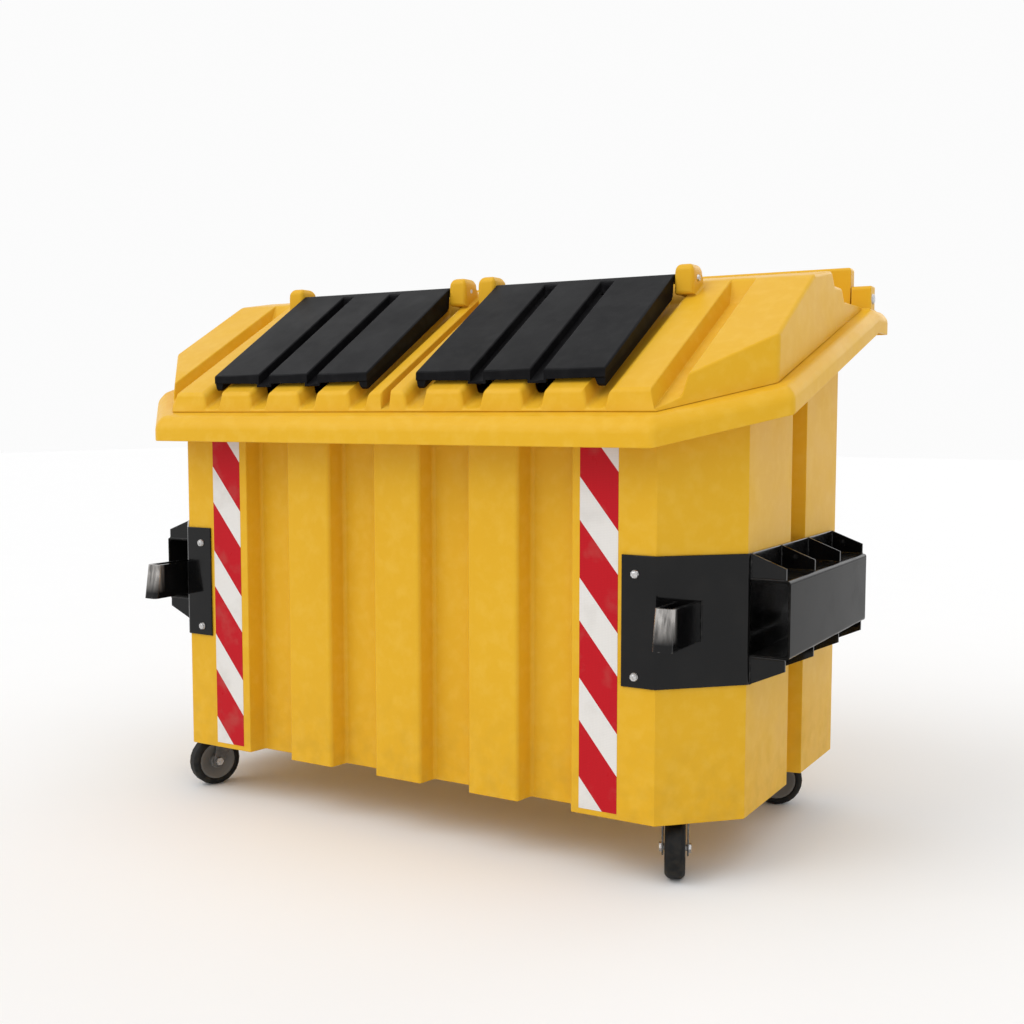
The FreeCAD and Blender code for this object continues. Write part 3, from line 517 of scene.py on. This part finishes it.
@dataclass(frozen=True)
class Finishes:
    """All the finishes of the container."""

    yellow: MouldedPlastic = MouldedPlastic(
        "yellow_plastic", colour=(0.765, 0.432, 0.022, 1.0), shade=(0.745, 0.411, 0.019, 1.0),
        scuff=(0.84, 0.54, 0.08, 1.0), dust=(0.36, 0.21, 0.04, 1.0), roughness=0.36, dust_base=0.15,
        dust_top=0.42, shine=0.14)
    black: MouldedPlastic = MouldedPlastic(
        "black_plastic", colour=(0.0050, 0.0050, 0.0062, 1.0), shade=(0.0038, 0.0038, 0.0044, 1.0),
        scuff=(0.035, 0.035, 0.036, 1.0), dust=(0.022, 0.02, 0.018, 1.0), roughness=0.36, wear=0.06,
        shine=0.06)
    hub: MouldedPlastic = MouldedPlastic(
        "wheel_plastic", colour=(0.17, 0.165, 0.158, 1.0), shade=(0.14, 0.136, 0.13, 1.0),
        scuff=(0.27, 0.26, 0.25, 1.0), dust=(0.20, 0.17, 0.13, 1.0), roughness=0.5)
    steel: PaintedSteel = PaintedSteel(
        "black_steel", colour=(0.0035, 0.0035, 0.0037, 1.0), chip=(0.16, 0.15, 0.14, 1.0),
        dust=(0.04, 0.035, 0.03, 1.0), roughness=0.08)
    # The hooks get a painted highlight at their front ends.
    hook_steel: PaintedSteel = replace(steel, name="hook_steel", rub=Rub(
        front=-0.533, back=-0.518, low=0.612, high=0.668, bare=(0.46, 0.44, 0.42, 1.0)))
    rubbed_steel: PaintedSteel = replace(
        steel, name="rubbed_steel", colour=(0.0085, 0.0083, 0.008, 1.0), dust=(0.06, 0.052, 0.045, 1.0),
        roughness=0.13, shine=0.035)
    zinc: PlatedSteel = PlatedSteel(
        "zinc_steel", colour=(0.72, 0.72, 0.73, 1.0), dull=(0.42, 0.41, 0.40, 1.0), roughness=0.24,
        crystal=300.0)
    galvanised: PlatedSteel = PlatedSteel(
        "galvanised_steel", colour=(0.22, 0.22, 0.225, 1.0), dull=(0.11, 0.11, 0.11, 1.0), roughness=0.38,
        crystal=90.0)
    rubber: SolidRubber = SolidRubber(
        "tyre_rubber", colour=(0.009, 0.009, 0.009, 1.0), dust=(0.09, 0.078, 0.06, 1.0), tread_top=0.12)
    film_right: StripedFilm = StripedFilm(
        "reflective_film_right", red=(0.53, 0.010, 0.018, 1.0), white=(0.78, 0.76, 0.73, 1.0), edge_x=0.548,
        white_base=0.390)
    film_left: StripedFilm = replace(
        film_right, name="reflective_film_left", edge_x=-0.651, white_base=0.384)


def link_new(name: str, data: bpy.types.ID) -> bpy.types.Object:
    """Make an object and link it to the scene.

    Args:
        name: name of the object.
        data: its mesh, camera or light.

    Returns:
        The object, at the origin.
    """
    obj = bpy.data.objects.new(name, data)
    bpy.context.scene.collection.objects.link(obj)
    return obj


def bake(draft: bpy.types.Object, name: str) -> bpy.types.Mesh:
    """Turn a draft with modifiers into a plain mesh and remove the draft.

    Args:
        draft: object to evaluate.
        name: name of the mesh.

    Returns:
        The plain mesh.
    """
    graph = bpy.context.evaluated_depsgraph_get()
    result = bpy.data.meshes.new_from_object(draft.evaluated_get(graph))
    result.name = name
    bpy.data.objects.remove(draft)
    return result


def flip_x(point: Vector) -> Vector:
    """Mirror image of a point on the other side of the container."""
    return Vector((-point.x, point.y, point.z))


def dress(obj: bpy.types.Object, material: Material) -> None:
    """Give a mesh object one material."""
    obj.data.materials.clear()
    obj.data.materials.append(material)


def dress_node(node: str, material: Material) -> None:
    """Put a material into the slots of a node that stays as it is.

    Args:
        node: name of the node.
        material: its material.
    """
    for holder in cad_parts[node].material_slots:
        holder.material = material
    LOG.info("%s dressed as %s", node, material.name)


def add_piece(name: str, mesh: bpy.types.Mesh, body: str) -> bpy.types.Object:
    """Link a new piece at the origin and make it move with a body.

    Args:
        name: name of the piece.
        mesh: its mesh, in the shared frame.
        body: body that carries it.

    Returns:
        The piece.
    """
    obj = link_new(name, mesh)
    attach(obj, body)
    LOG.info("%s added to %s with %d faces", name, body, len(mesh.polygons))
    return obj


@dataclass(frozen=True)
class Seam:
    """Plane at which two nodes of one moulding meet: rising to the rear, then level."""

    front: float
    level_start: float
    low: float
    slope: float

    def holds(self, edge: Edge) -> bool:
        """True for an edge with both ends in the plane."""
        levels = [self.low + (min(vert.co.y, self.level_start) - self.front) * self.slope
                  for vert in edge.verts]
        return all(abs(level - vert.co.z) < FLUSH for level, vert in zip(levels, edge.verts))


@dataclass(frozen=True)
class Joint:
    """Plane square to an axis at which the nodes of one moulding are joined again."""

    axis: Axis
    place: float
    slack: float = 0.00001

    def holds(self, face: bmesh.types.BMFace) -> bool:
        """True for a face that lies in the plane."""
        return all(abs(vert.co[self.axis] - self.place) < FLUSH for vert in face.verts)

    def join(self, work: bmesh.types.BMesh) -> None:
        """Drop the faces in the plane and give both sides the same corners along it.

        Args:
            work: mesh of all the nodes.
        """
        caps = [face for face in work.faces if self.holds(face)]
        bmesh.ops.delete(work, geom=caps, context="FACES")
        way = Vector([float(axis is self.axis) for axis in Axis])
        everything = [*work.verts, *work.edges, *work.faces]
        bmesh.ops.bisect_plane(
            work, geom=everything, dist=self.slack, plane_co=way * self.place, plane_no=way)


@dataclass(frozen=True)
class Lugs:
    """Hinge lugs whose tops are drawn in to a dome before their edges are rounded."""

    front: float = -0.0718
    rear: float = -0.0038
    waist: float = 1.4985
    shoulder: float = 1.5142
    top: float = 1.5255
    draw: float = 0.011
    spans: tuple[tuple[float, float], ...] = ((0.0215, 0.0765), (0.6264, 0.6814))
    shortest: float = 0.009
    slack: float = 0.0005

    def centre(self, point: Vector) -> float | None:
        """Find the lug that a point belongs to.

        Args:
            point: place to look at.

        Returns:
            X of the lug's middle, or None away from the lugs.
        """
        if not self.front - self.slack < point.y < self.rear + self.slack:
            return None
        for near, far in self.spans:
            if near - self.slack < abs(point.x) < far + self.slack:
                return math.copysign((near + far) / 2, point.x)
        return None

    def crowns(self, edge: Edge) -> bool:
        """True for an edge of a lug above its waist, long enough to be rounded."""
        high = all(vert.co.z > self.waist - self.slack and self.centre(vert.co) for vert in edge.verts)
        return high and edge.calc_length() > self.shortest

    def shape(self, work: bmesh.types.BMesh) -> None:
        """Cut the sides of the lugs at two levels and draw the corners above the waist in.

        Args:
            work: mesh of the moulding.
        """
        rise = Vector((0.0, 0.0, 1.0))
        for level in (self.waist, self.shoulder):
            sides = [face for face in work.faces if all(self.centre(vert.co) for vert in face.verts)]
            parts = dict.fromkeys(part for face in sides for part in (face, *face.edges, *face.verts))
            bmesh.ops.bisect_plane(work, geom=list(parts), dist=self.slack, plane_co=rise * level,
                                   plane_no=rise)
        for vert in work.verts:
            middle = self.centre(vert.co)
            if middle is not None and vert.co.z > self.waist:
                height = min(1.0, (vert.co.z - self.waist) / (self.top - self.waist))
                inward = self.draw * (1.0 - math.sqrt(1.0 - height**2))
                vert.co.x += math.copysign(inward, middle - vert.co.x)


@dataclass
class Softening:
    """Copy of a node, or of joined nodes, with rounded edges as a mould or a press leaves them."""

    name: str
    body: str
    slot: str
    radius: float
    shortest: float = 0.03
    segments: int = 3
    share: float = 0.42
    margin: float = 0.012
    sharp: float = math.radians(18.0)
    smooth: float = math.radians(32.0)
    bold_ways: tuple[Vector, ...] = ()
    bold_reach: float = 0.0
    plain: float = 1.0
    seam: Seam | None = None
    nodes: tuple[str, ...] = ()
    joints: tuple[Joint, ...] = ()
    lugs: Lugs | None = None
    rim_weld: float = 0.0003
    gap_sides: int = 4
    weld: float = 0.00002
    flat: float = math.radians(0.4)
    stray_length: float = 0.0012
    stray_reach: float = 0.015
    longest_end: float = 0.4
    steps: int = 24
    same_line: float = 0.95
    same_way: float = 0.98

    def __post_init__(self) -> None:
        """Take the node of the same name where no others are given."""
        self.nodes = self.nodes or (self.name,)

    def merged(self) -> bmesh.types.BMesh:
        """Copy of the nodes' meshes with joined corners and whole flat faces.

        Returns:
            The cleaned mesh.
        """
        work = bmesh.new()
        for node in self.nodes:
            work.from_mesh(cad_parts[node].data)
        for joint in self.joints:
            joint.join(work)
        rims = [vert for vert in work.verts if any(edge.is_boundary for edge in vert.link_edges)]
        bmesh.ops.remove_doubles(work, verts=rims, dist=self.rim_weld)
        gaps = [edge for edge in work.edges if edge.is_boundary]
        bmesh.ops.holes_fill(work, edges=gaps, sides=self.gap_sides)
        bmesh.ops.remove_doubles(work, verts=work.verts, dist=self.weld)
        bmesh.ops.dissolve_limit(work, angle_limit=self.flat, verts=work.verts, edges=work.edges)
        bmesh.ops.collapse(work, edges=[edge for edge in work.edges if self.stray(edge)])
        if self.lugs:
            self.lugs.shape(work)
            work.normal_update()
        return work

    def stray(self, edge: Edge) -> bool:
        """True for a very short edge among long ones, left over from the joining of faces."""
        others = [other for vert in edge.verts for other in vert.link_edges if other is not edge]
        return (edge.calc_length() < self.stray_length
                and all(other.calc_length() > self.stray_reach for other in others))

    @staticmethod
    def room(edge: Edge, face: bmesh.types.BMFace, part: float) -> float:
        """Distance across a face from a point on one of its edges.

        Args:
            edge: edge to start from.
            face: face that the edge belongs to.
            part: place of the point along the edge, from 0 to 1.

        Returns:
            Distance to the first other edge met, in metres.
        """
        loop = next(loop for loop in face.loops if loop.edge is edge)
        along = (loop.link_loop_next.vert.co - loop.vert.co).normalized()
        across = face.normal.cross(along)
        middle = loop.vert.co.lerp(loop.link_loop_next.vert.co, part)
        nearest = math.inf
        for other in face.edges:
            if other is edge:
                continue
            start, end = (vert.co - middle for vert in other.verts)
            low, high = start.dot(along), end.dot(along)
            if low * high > 0 or abs(low - high) < SQUARE:
                continue
            reach = (start + (end - start) * (low / (low - high))).dot(across)
            if TOUCHING < reach < nearest:
                nearest = reach
        return nearest

    def weight(self, edge: Edge) -> float:
        """Share of the radius that an edge has room for.

        Args:
            edge: sharp edge between two faces.

        Returns:
            Weight from 0 to 1.
        """
        along = (edge.verts[1].co - edge.verts[0].co).normalized()
        end = min(self.longest_end, self.margin / edge.calc_length())
        probes = [end + (1.0 - 2.0 * end) * index / self.steps for index in range(self.steps + 1)]
        space = min(self.room(edge, face, part) for face in edge.link_faces for part in probes)
        for vert in edge.verts:
            for other in vert.link_edges:
                way = (other.other_vert(vert).co - vert.co).normalized()
                if other is not edge and abs(way.dot(along)) < self.same_line:
                    space = min(space, other.calc_length())
        middle = (edge.verts[0].co + edge.verts[1].co) / 2
        leads = any(abs(along.dot(way)) > self.same_way for way in self.bold_ways)
        bold = leads and abs(middle.x) < self.bold_reach
        return min(1.0 if bold else self.plain, self.share * space / self.radius)

    def shaded(self, mesh: bpy.types.Mesh) -> bpy.types.Mesh:
        """Smooth shading in which the large faces stay flat.

        Args:
            mesh: rounded mesh.

        Returns:
            The same mesh with weighted normals.
        """
        mesh.shade_smooth()
        mesh.set_sharp_from_angle(angle=self.smooth)
        draft = link_new(self.name + "_shaded", mesh)
        draft.modifiers.new("even_normals", "WEIGHTED_NORMAL").keep_sharp = True
        return bake(draft, self.name + "_soft")

    def build(self, material: Material) -> None:
        """Make the softened piece in place of the nodes.

        Args:
            material: finish of the piece.
        """
        work = self.merged()
        weights = work.edges.layers.float.new("bevel_weight_edge")
        for edge in work.edges:
            crowns = bool(self.lugs) and self.lugs.crowns(edge)
            if len(edge.link_faces) != 2 or edge.calc_length() < self.shortest and not crowns:
                continue
            if self.seam and self.seam.holds(edge):
                continue
            if edge.calc_face_angle(0.0) > self.sharp:
                edge[weights] = self.weight(edge)
        mesh = bpy.data.meshes.new(self.name + "_draft")
        work.to_mesh(mesh)
        work.free()
        draft = link_new(self.name + "_draft", mesh)
        bevel = draft.modifiers.new("soft_edges", "BEVEL")
        bevel.limit_method = "WEIGHT"
        bevel.width = self.radius
        bevel.segments = self.segments
        bevel.use_clamp_overlap = False
        rounded = self.shaded(bake(draft, self.name + "_round"))
        obj = add_piece(self.name + "_soft", rounded, self.body)
        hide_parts(*self.nodes)
        dress(obj, material)


class Pattern(Tree):
    """Geometry Nodes tree with named size inputs, run over a set of straight lines."""

    def __init__(self, name: str) -> None:
        """Start a tree that has a geometry input and output.

        Args:
            name: name of the tree.
        """
        super().__init__(bpy.data.node_groups.new(name, "GeometryNodeTree"))
        for way in ("INPUT", "OUTPUT"):
            self.tree.interface.new_socket("Geometry", in_out=way, socket_type="NodeSocketGeometry")
        self.start = self.node("NodeGroupInput")
        self.end = self.node("NodeGroupOutput")
        self.sizes: dict[str, float] = {}

    def size(self, name: str, value: float) -> Socket:
        """Add a named size input.

        Args:
            name: name of the input.
            value: size in metres, or a plain factor.

        Returns:
            The socket that hands the size to other nodes.
        """
        item = self.tree.interface.new_socket(name, in_out="INPUT", socket_type="NodeSocketFloat")
        self.sizes[item.identifier] = value
        return self.start.outputs[name]

    def lines(self) -> Socket:
        """Input lines as curves."""
        return self.node("GeometryNodeMeshToCurve", Mesh=self.start.outputs["Geometry"]).outputs["Curve"]

    def build(self, name: str, shape: Socket, lines: Lines, body: str,
              slot: str, material: Material) -> None:
        """Close the tree, run it over the lines and keep the result as a piece.

        Args:
            name: name of the piece.
            shape: geometry that the tree has made.
            lines: ends of the straight lines.
            body: body that carries the piece.
            slot: material slot of the piece; not used.
            material: finish of the piece.
        """
        whole = self.node("GeometryNodeRealizeInstances", Geometry=shape)
        smooth = self.node("GeometryNodeSetShadeSmooth", Geometry=whole.outputs["Geometry"])
        painted = self.node("GeometryNodeSetMaterial", Geometry=smooth.outputs["Geometry"],
                            Material=material)
        self.feed(self.end.inputs["Geometry"], painted.outputs["Geometry"])
        mesh = bpy.data.meshes.new(name + "_lines")
        points = [point for line in lines for point in line]
        mesh.from_pydata(points, [(index, index + 1) for index in range(0, len(points), 2)], [])
        draft = link_new(name + "_lines", mesh)
        run = draft.modifiers.new(name, "NODES")
        run.node_group = self.tree
        for identifier, value in self.sizes.items():
            run[identifier] = value
        add_piece(name, bake(draft, name), body)


@dataclass(frozen=True)
class Bend:
    """Rounding of one kind of plate: its radius in metres and the number of faces across it."""

    radius: float
    segments: int


@dataclass
class Steelwork:
    """Wrapped brackets with fork sleeves, gussets, hooks, bolts and the welds between them."""

    half_width: float = 0.917
    corner_cut: float = 0.165
    front: float = -0.449
    plate: float = 0.006
    bracket_low: float = 0.484
    bracket_high: float = 0.802
    sleeve_low: float = 0.551
    sleeve_high: float = 0.741
    sleeve_front: float = -0.278
    sleeve_rear: float = 0.400
    gusset_count: int = 4
    gusset_tip: float = 1.010
    hook_edges: tuple[float, float] = (0.786, 0.836)
    hook_low: float = 0.596
    hook_high: float = 0.694
    bolt_heights: tuple[float, float] = (0.5105, 0.757)
    bolt_front_x: float = 0.700
    weld_radius: float = 0.0028
    weld_pitch: float = 0.004
    weld_sides: int = 8
    weld_seed: int = 7
    weld_ripple: tuple[float, float] = (0.75, 1.2)
    dome_radius: float = 0.011
    dome_height: float = 0.0072
    dome_sides: int = 24
    hook_bend: Bend = Bend(0.005, 4)
    sleeve_bend: Bend = Bend(0.010, 5)
    bracket_bend: Bend = Bend(0.006, 3)
    gusset_bend: Bend = Bend(0.001, 2)

    def stations(self) -> list[float]:
        """Front faces of the gussets along Y."""
        step = (self.sleeve_rear - self.plate - self.sleeve_front) / (self.gusset_count - 1)
        return [self.sleeve_front + step * index for index in range(self.gusset_count)]

    def seams(self) -> Lines:
        """Ends of the weld seams on both sides.

        Returns:
            Pairs of points.
        """
        skin = self.half_width + self.plate
        levels = ((self.sleeve_high, self.bracket_high), (self.sleeve_low, self.bracket_low))
        lines = []
        for level in (self.sleeve_low, self.sleeve_high):
            lines.append((Vector((skin, self.sleeve_front, level)), Vector((skin, self.sleeve_rear, level))))
        for start in self.stations():
            for y in (start, start + self.plate):
                for near, far in levels:
                    lines.append((Vector((skin, y, near)), Vector((skin, y, far))))
                    lines.append((Vector((skin, y, near)), Vector((self.gusset_tip, y, near))))
        for x in self.hook_edges:
            y = self.front + x - (self.half_width - self.corner_cut) - self.plate * math.sqrt(2)
            lines.append((Vector((x, y, self.hook_low)), Vector((x, y, self.hook_high))))
        return lines + [(flip_x(start), flip_x(end)) for start, end in lines]

    def bolt_seats(self) -> Lines:
        """Seats of the bolt heads with a point straight out from each.

        Returns:
            Pairs of points.
        """
        stations = self.stations()
        lines = []
        for z in self.bolt_heights:
            lines.append((Vector((self.bolt_front_x, self.front - self.plate, z)), Vector((0.0, -1.0, 0.0))))
            for first in range(0, self.gusset_count, 2):
                y = (stations[first] + stations[first + 1]) / 2
                lines.append((Vector((self.half_width + self.plate, y, z)), Vector((1.0, 0.0, 0.0))))
        ends = [(seat, seat + way * self.dome_height) for seat, way in lines]
        return ends + [(flip_x(start), flip_x(end)) for start, end in ends]

    def welds(self, material: Material) -> None:
        """Run a rippled bead along each seam.

        Args:
            material: finish of the beads.
        """
        pattern = Pattern("weld_bead")
        pitch, radius = pattern.size("Pitch", self.weld_pitch), pattern.size("Radius", self.weld_radius)
        seams = pattern.lines()
        fine = pattern.node("GeometryNodeResampleCurve", {"mode": "LENGTH"}, Curve=seams, Length=pitch)
        ripple = pattern.node("FunctionNodeRandomValue", Seed=self.weld_seed)
        ripple.inputs[2].default_value, ripple.inputs[3].default_value = self.weld_ripple
        ring = pattern.node("GeometryNodeCurvePrimitiveCircle", Resolution=self.weld_sides, Radius=radius)
        bead = pattern.node("GeometryNodeCurveToMesh", Curve=fine.outputs["Curve"],
                            Profile_Curve=ring.outputs["Curve"], Scale=ripple.outputs[1], Fill_Caps=True)
        pattern.build("weld_beads", bead.outputs["Mesh"], self.seams(), "tub", "black_steel", material)

    def domes(self, material: Material) -> None:
        """Cap each bracket bolt with a domed head.

        Args:
            material: finish of the heads.
        """
        pattern = Pattern("bolt_dome")
        radius, height = pattern.size("Radius", self.dome_radius), pattern.size("Height", self.dome_height)
        ends = pattern.node("GeometryNodeCurveToPoints", Curve=pattern.lines(), Count=1)
        turn = pattern.node("FunctionNodeAlignRotationToVector", {"axis": "Z"},
                            Vector=ends.outputs["Tangent"])
        ball = pattern.node("GeometryNodeMeshUVSphere", Segments=self.dome_sides, Rings=self.dome_sides // 2,
                            Radius=1.0)
        scale = pattern.node("ShaderNodeCombineXYZ", X=radius, Y=radius, Z=height)
        heads = pattern.node("GeometryNodeInstanceOnPoints", Points=ends.outputs["Points"],
                             Instance=ball.outputs["Mesh"], Rotation=turn.outputs["Rotation"],
                             Scale=scale.outputs["Vector"])
        shape = heads.outputs["Instances"]
        pattern.build("bolt_domes", shape, self.bolt_seats(), "tub", "zinc_steel", material)

    def build(self, looks: Finishes, zinc: Material) -> None:
        """Soften the plates and add welds and domes.

        Args:
            looks: all finishes.
            zinc: finish of the bolts.
        """
        steel, hooks, rubbed = looks.steel.build(), looks.hook_steel.build(), looks.rubbed_steel.build()
        plates = (("lift_hook", self.hook_bend, hooks), ("fork_sleeve", self.sleeve_bend, rubbed),
                  ("side_bracket", self.bracket_bend, steel), ("sleeve_gussets", self.gusset_bend, steel))
        for side in Side:
            for name, bend, finish in plates:
                Softening(f"{name}_{side.word}", "tub", "black_steel", bend.radius,
                          segments=bend.segments).build(finish)
        self.welds(steel)
        self.domes(zinc)
        dress_node("bracket_bolts", zinc)


@dataclass(frozen=True)
class Skirts:
    """Drafted lips at both sides of a flap that dip into the grooves of the deck towards the front.

    The outline gives Y, Z and the share of the draft, which narrows a lip towards its tip.
    """

    outer: tuple[float, float] = (0.0797, 0.6232)
    width: float = 0.030
    outer_draft: float = 0.003
    inner_draft: float = 0.009
    outline: tuple[tuple[float, float, float], ...] = (
        (-0.4625, 1.2245, 0.0), (-0.4600, 1.2060, 0.8), (-0.4545, 1.2010, 1.0), (-0.0740, 1.4325, 0.0),
        (-0.0740, 1.4400, 0.0))

    def rows(self) -> list[list[list[Vector]]]:
        """Corners of the outer and the inner face of each lip, for the right flap.

        Returns:
            A pair of rows of points for each lip.
        """
        lips = []
        for outer, way in zip(self.outer, (1.0, -1.0)):
            skins = []
            for base, draft in ((0.0, self.outer_draft), (self.width, -self.inner_draft)):
                places = [(outer + way * (base + draft * share), y, z) for y, z, share in self.outline]
                skins.append([Vector(place) for place in places])
            lips.append(skins)
        return lips

    def build(self, side: Side, material: Material) -> None:
        """Add both lips of one flap.

        Args:
            side: side of the flap.
            material: finish of the flap.
        """
        work = bmesh.new()
        for lip in self.rows():
            skins = [[work.verts.new((side.value * point.x, point.y, point.z)) for point in row]
                     for row in lip]
            bmesh.ops.triangulate(work, faces=[work.faces.new(row) for row in skins])
            for start in range(len(self.outline)):
                end = (start + 1) % len(self.outline)
                work.faces.new((skins[0][start], skins[0][end], skins[1][end], skins[1][start]))
        bmesh.ops.recalc_face_normals(work, faces=work.faces)
        mesh = bpy.data.meshes.new(f"flap_skirts_{side.word}")
        work.to_mesh(mesh)
        work.free()
        dress(add_piece(mesh.name, mesh, f"flap_{side.word}"), material)


@dataclass
class Mouldings:
    """Tub, hood and flaps with rounded moulded edges, the hinge pins and the tapes on the tub."""

    rim_seam: Seam = Seam(front=-0.547, level_start=0.455, low=1.056, slope=math.tan(math.radians(17.0)))
    tub_round: float = 0.010
    rim_round: float = 0.012
    hood_round: float = 0.018
    hood_plain: float = 0.55
    hood_share: float = 0.48
    hood_segments: int = 4
    rib_reach: float = 0.85
    deck_angle: float = 30.0
    front_way: Triple = (0.0, 0.09, 0.996)
    flap_round: float = 0.005
    hood_nodes: tuple[str, ...] = (
        "hood_middle", "hood_bay_left", "hood_bay_right", "hood_end_left", "hood_end_right", "hood_rear")
    hood_joints: tuple[Joint, ...] = (
        *(Joint(Axis.X, place) for place in (-0.5734, -0.1295, 0.1295, 0.5734)), Joint(Axis.Y, 0.276))

    def build(self, looks: Finishes, zinc: Material) -> None:
        """Make the softened mouldings and dress the tapes and hinge pins.

        Args:
            looks: all finishes.
            zinc: finish of the pins.
        """
        yellow, black = looks.yellow.build(), looks.black.build()
        Softening("tub_shell", "tub", "yellow_plastic", self.tub_round, seam=self.rim_seam).build(yellow)
        Softening("tub_rim", "tub", "yellow_plastic", self.rim_round).build(yellow)
        dress_node("tub_floor", yellow)
        slope = math.radians(self.deck_angle)
        deck_way = Vector((0.0, math.cos(slope), math.sin(slope)))
        Softening("hood", "hood", "yellow_plastic", self.hood_round, segments=self.hood_segments,
                  share=self.hood_share, plain=self.hood_plain, bold_ways=(deck_way, Vector(self.front_way)),
                  bold_reach=self.rib_reach, nodes=self.hood_nodes, joints=self.hood_joints,
                  lugs=Lugs()).build(yellow)
        for side in Side:
            flap = f"flap_{side.word}"
            Softening(flap, flap, "black_plastic", self.flap_round).build(black)
            Skirts().build(side, black)
            dress_node(f"hood_pin_{side.word}", zinc)
            dress_node(f"flap_pin_{side.word}", zinc)
        dress_node("reflective_tape_left", looks.film_left.build())
        dress_node("reflective_tape_right", looks.film_right.build())


@dataclass
class Castors:
    """Four swivel castors with pressed forks and rounded tyres."""

    tyre_round: float = 0.004
    hub_round: float = 0.0015
    wheel_shortest: float = 0.001
    fork_round: float = 0.0008
    fork_shortest: float = 0.01
    fork_segments: int = 2

    def build(self, looks: Finishes, zinc: Material) -> None:
        """Make the softened castor pieces and dress the rest.

        Args:
            looks: all finishes.
            zinc: finish of the axles.
        """
        galvanised, rubber, hub = looks.galvanised.build(), looks.rubber.build(), looks.hub.build()
        for castor in Castor:
            end = castor.value
            wheel = f"wheel_{end}"
            Softening(f"tyre_{end}", wheel, "tyre_rubber", self.tyre_round,
                      shortest=self.wheel_shortest).build(rubber)
            Softening(f"wheel_hub_{end}", wheel, "wheel_plastic", self.hub_round,
                      shortest=self.wheel_shortest).build(hub)
            Softening(f"castor_fork_{end}", f"castor_{end}", "galvanised_steel", self.fork_round,
                      shortest=self.fork_shortest, segments=self.fork_segments).build(galvanised)
            dress_node(f"castor_plate_{end}", galvanised)
            dress_node(f"castor_bearing_{end}", galvanised)
            dress_node(f"castor_axle_{end}", zinc)


@dataclass(frozen=True)
class Lamp:
    """Soft light far away: where it comes from, its width in degrees and its watts on a square metre."""

    name: str
    way: Triple
    spread: float
    power: float
    distance: float = 6.0

    def build(self) -> None:
        """Set the light and turn it to the origin."""
        data = bpy.data.lights.new(self.name, "SUN")
        data.angle = math.radians(self.spread)
        data.energy = self.power
        light = link_new(self.name, data)
        light.location = Vector(self.way) * self.distance
        light.rotation_euler = (-Vector(self.way)).to_track_quat("-Z", "Y").to_euler()


@dataclass
class Studio:
    """Camera, lights, pale floor and pale surroundings."""

    eye: Triple = (1.9238, -3.0909, 1.1324)
    yaw: float = 30.64
    pitch: float = 4.51
    lens: float = 43.33
    sensor: float = 36.0
    floor_size: float = 60.0
    floor_cells: float = 3.0
    floor_tones: tuple[Colour, Colour] = ((0.895, 0.895, 0.895, 1.0), (0.905, 0.905, 0.905, 1.0))
    floor_roughness: float = 0.85
    floor_shine: float = 0.1
    sky: float = 0.65
    backdrop: float = 0.97
    lamps: tuple[Lamp, ...] = (
        Lamp("key", (-0.50, -0.60, 0.62), spread=45.0, power=0.80),
        Lamp("top", (0.10, -0.25, 0.96), spread=80.0, power=0.86),
        Lamp("back", (0.16, 0.92, 0.37), spread=28.0, power=0.28))

    def camera(self) -> None:
        """Place the camera where the photograph was taken from."""
        data = bpy.data.cameras.new("camera")
        data.lens = self.lens
        data.sensor_width = self.sensor
        camera = link_new("camera", data)
        camera.location = self.eye
        camera.rotation_euler = (math.radians(90.0 - self.pitch), 0.0, math.radians(self.yaw))
        bpy.context.scene.camera = camera

    def floor(self) -> None:
        """Lay a wide pale floor."""
        graph = Graph("studio_floor")
        tone = graph.mix(graph.noise(self.floor_cells), *self.floor_tones)
        material = graph.finish(tone, self.floor_roughness, specular=self.floor_shine)
        half = self.floor_size / 2
        mesh = bpy.data.meshes.new("studio_floor")
        corners = [(-half, -half, 0), (half, -half, 0), (half, half, 0), (-half, half, 0)]
        mesh.from_pydata(corners, [], [(0, 1, 2, 3)])
        obj = link_new("studio_floor", mesh)
        dress(obj, material)

    def surroundings(self) -> None:
        """Pale even light from all round."""
        world = bpy.data.worlds.new("studio")
        world.use_nodes = True
        tree = Tree(world.node_tree)
        rays = tree.node("ShaderNodeLightPath").outputs
        seen = tree.sum("MAXIMUM", rays["Is Camera Ray"], rays["Is Glossy Ray"])
        back = world.node_tree.nodes["Background"]
        tree.feed(back.inputs["Color"], (1.0, 1.0, 1.0, 1.0))
        tree.feed(back.inputs["Strength"], tree.span(seen, 0.0, 1.0, self.sky, self.backdrop))
        bpy.context.scene.world = world

    def build(self) -> None:
        """Set up everything round the object."""
        bpy.context.scene.view_settings.view_transform = "Standard"
        self.camera()
        self.floor()
        self.surroundings()
        for lamp in self.lamps:
            lamp.build()


def main() -> None:
    """Build every piece, dress every node and set up the studio."""
    logging.basicConfig(level=logging.INFO, format="%(name)s: %(message)s")
    looks = Finishes()
    zinc = looks.zinc.build()
    Mouldings().build(looks, zinc)
    Steelwork().build(looks, zinc)
    Castors().build(looks, zinc)
    Studio().build()


if __name__ == "__main__":
    main()
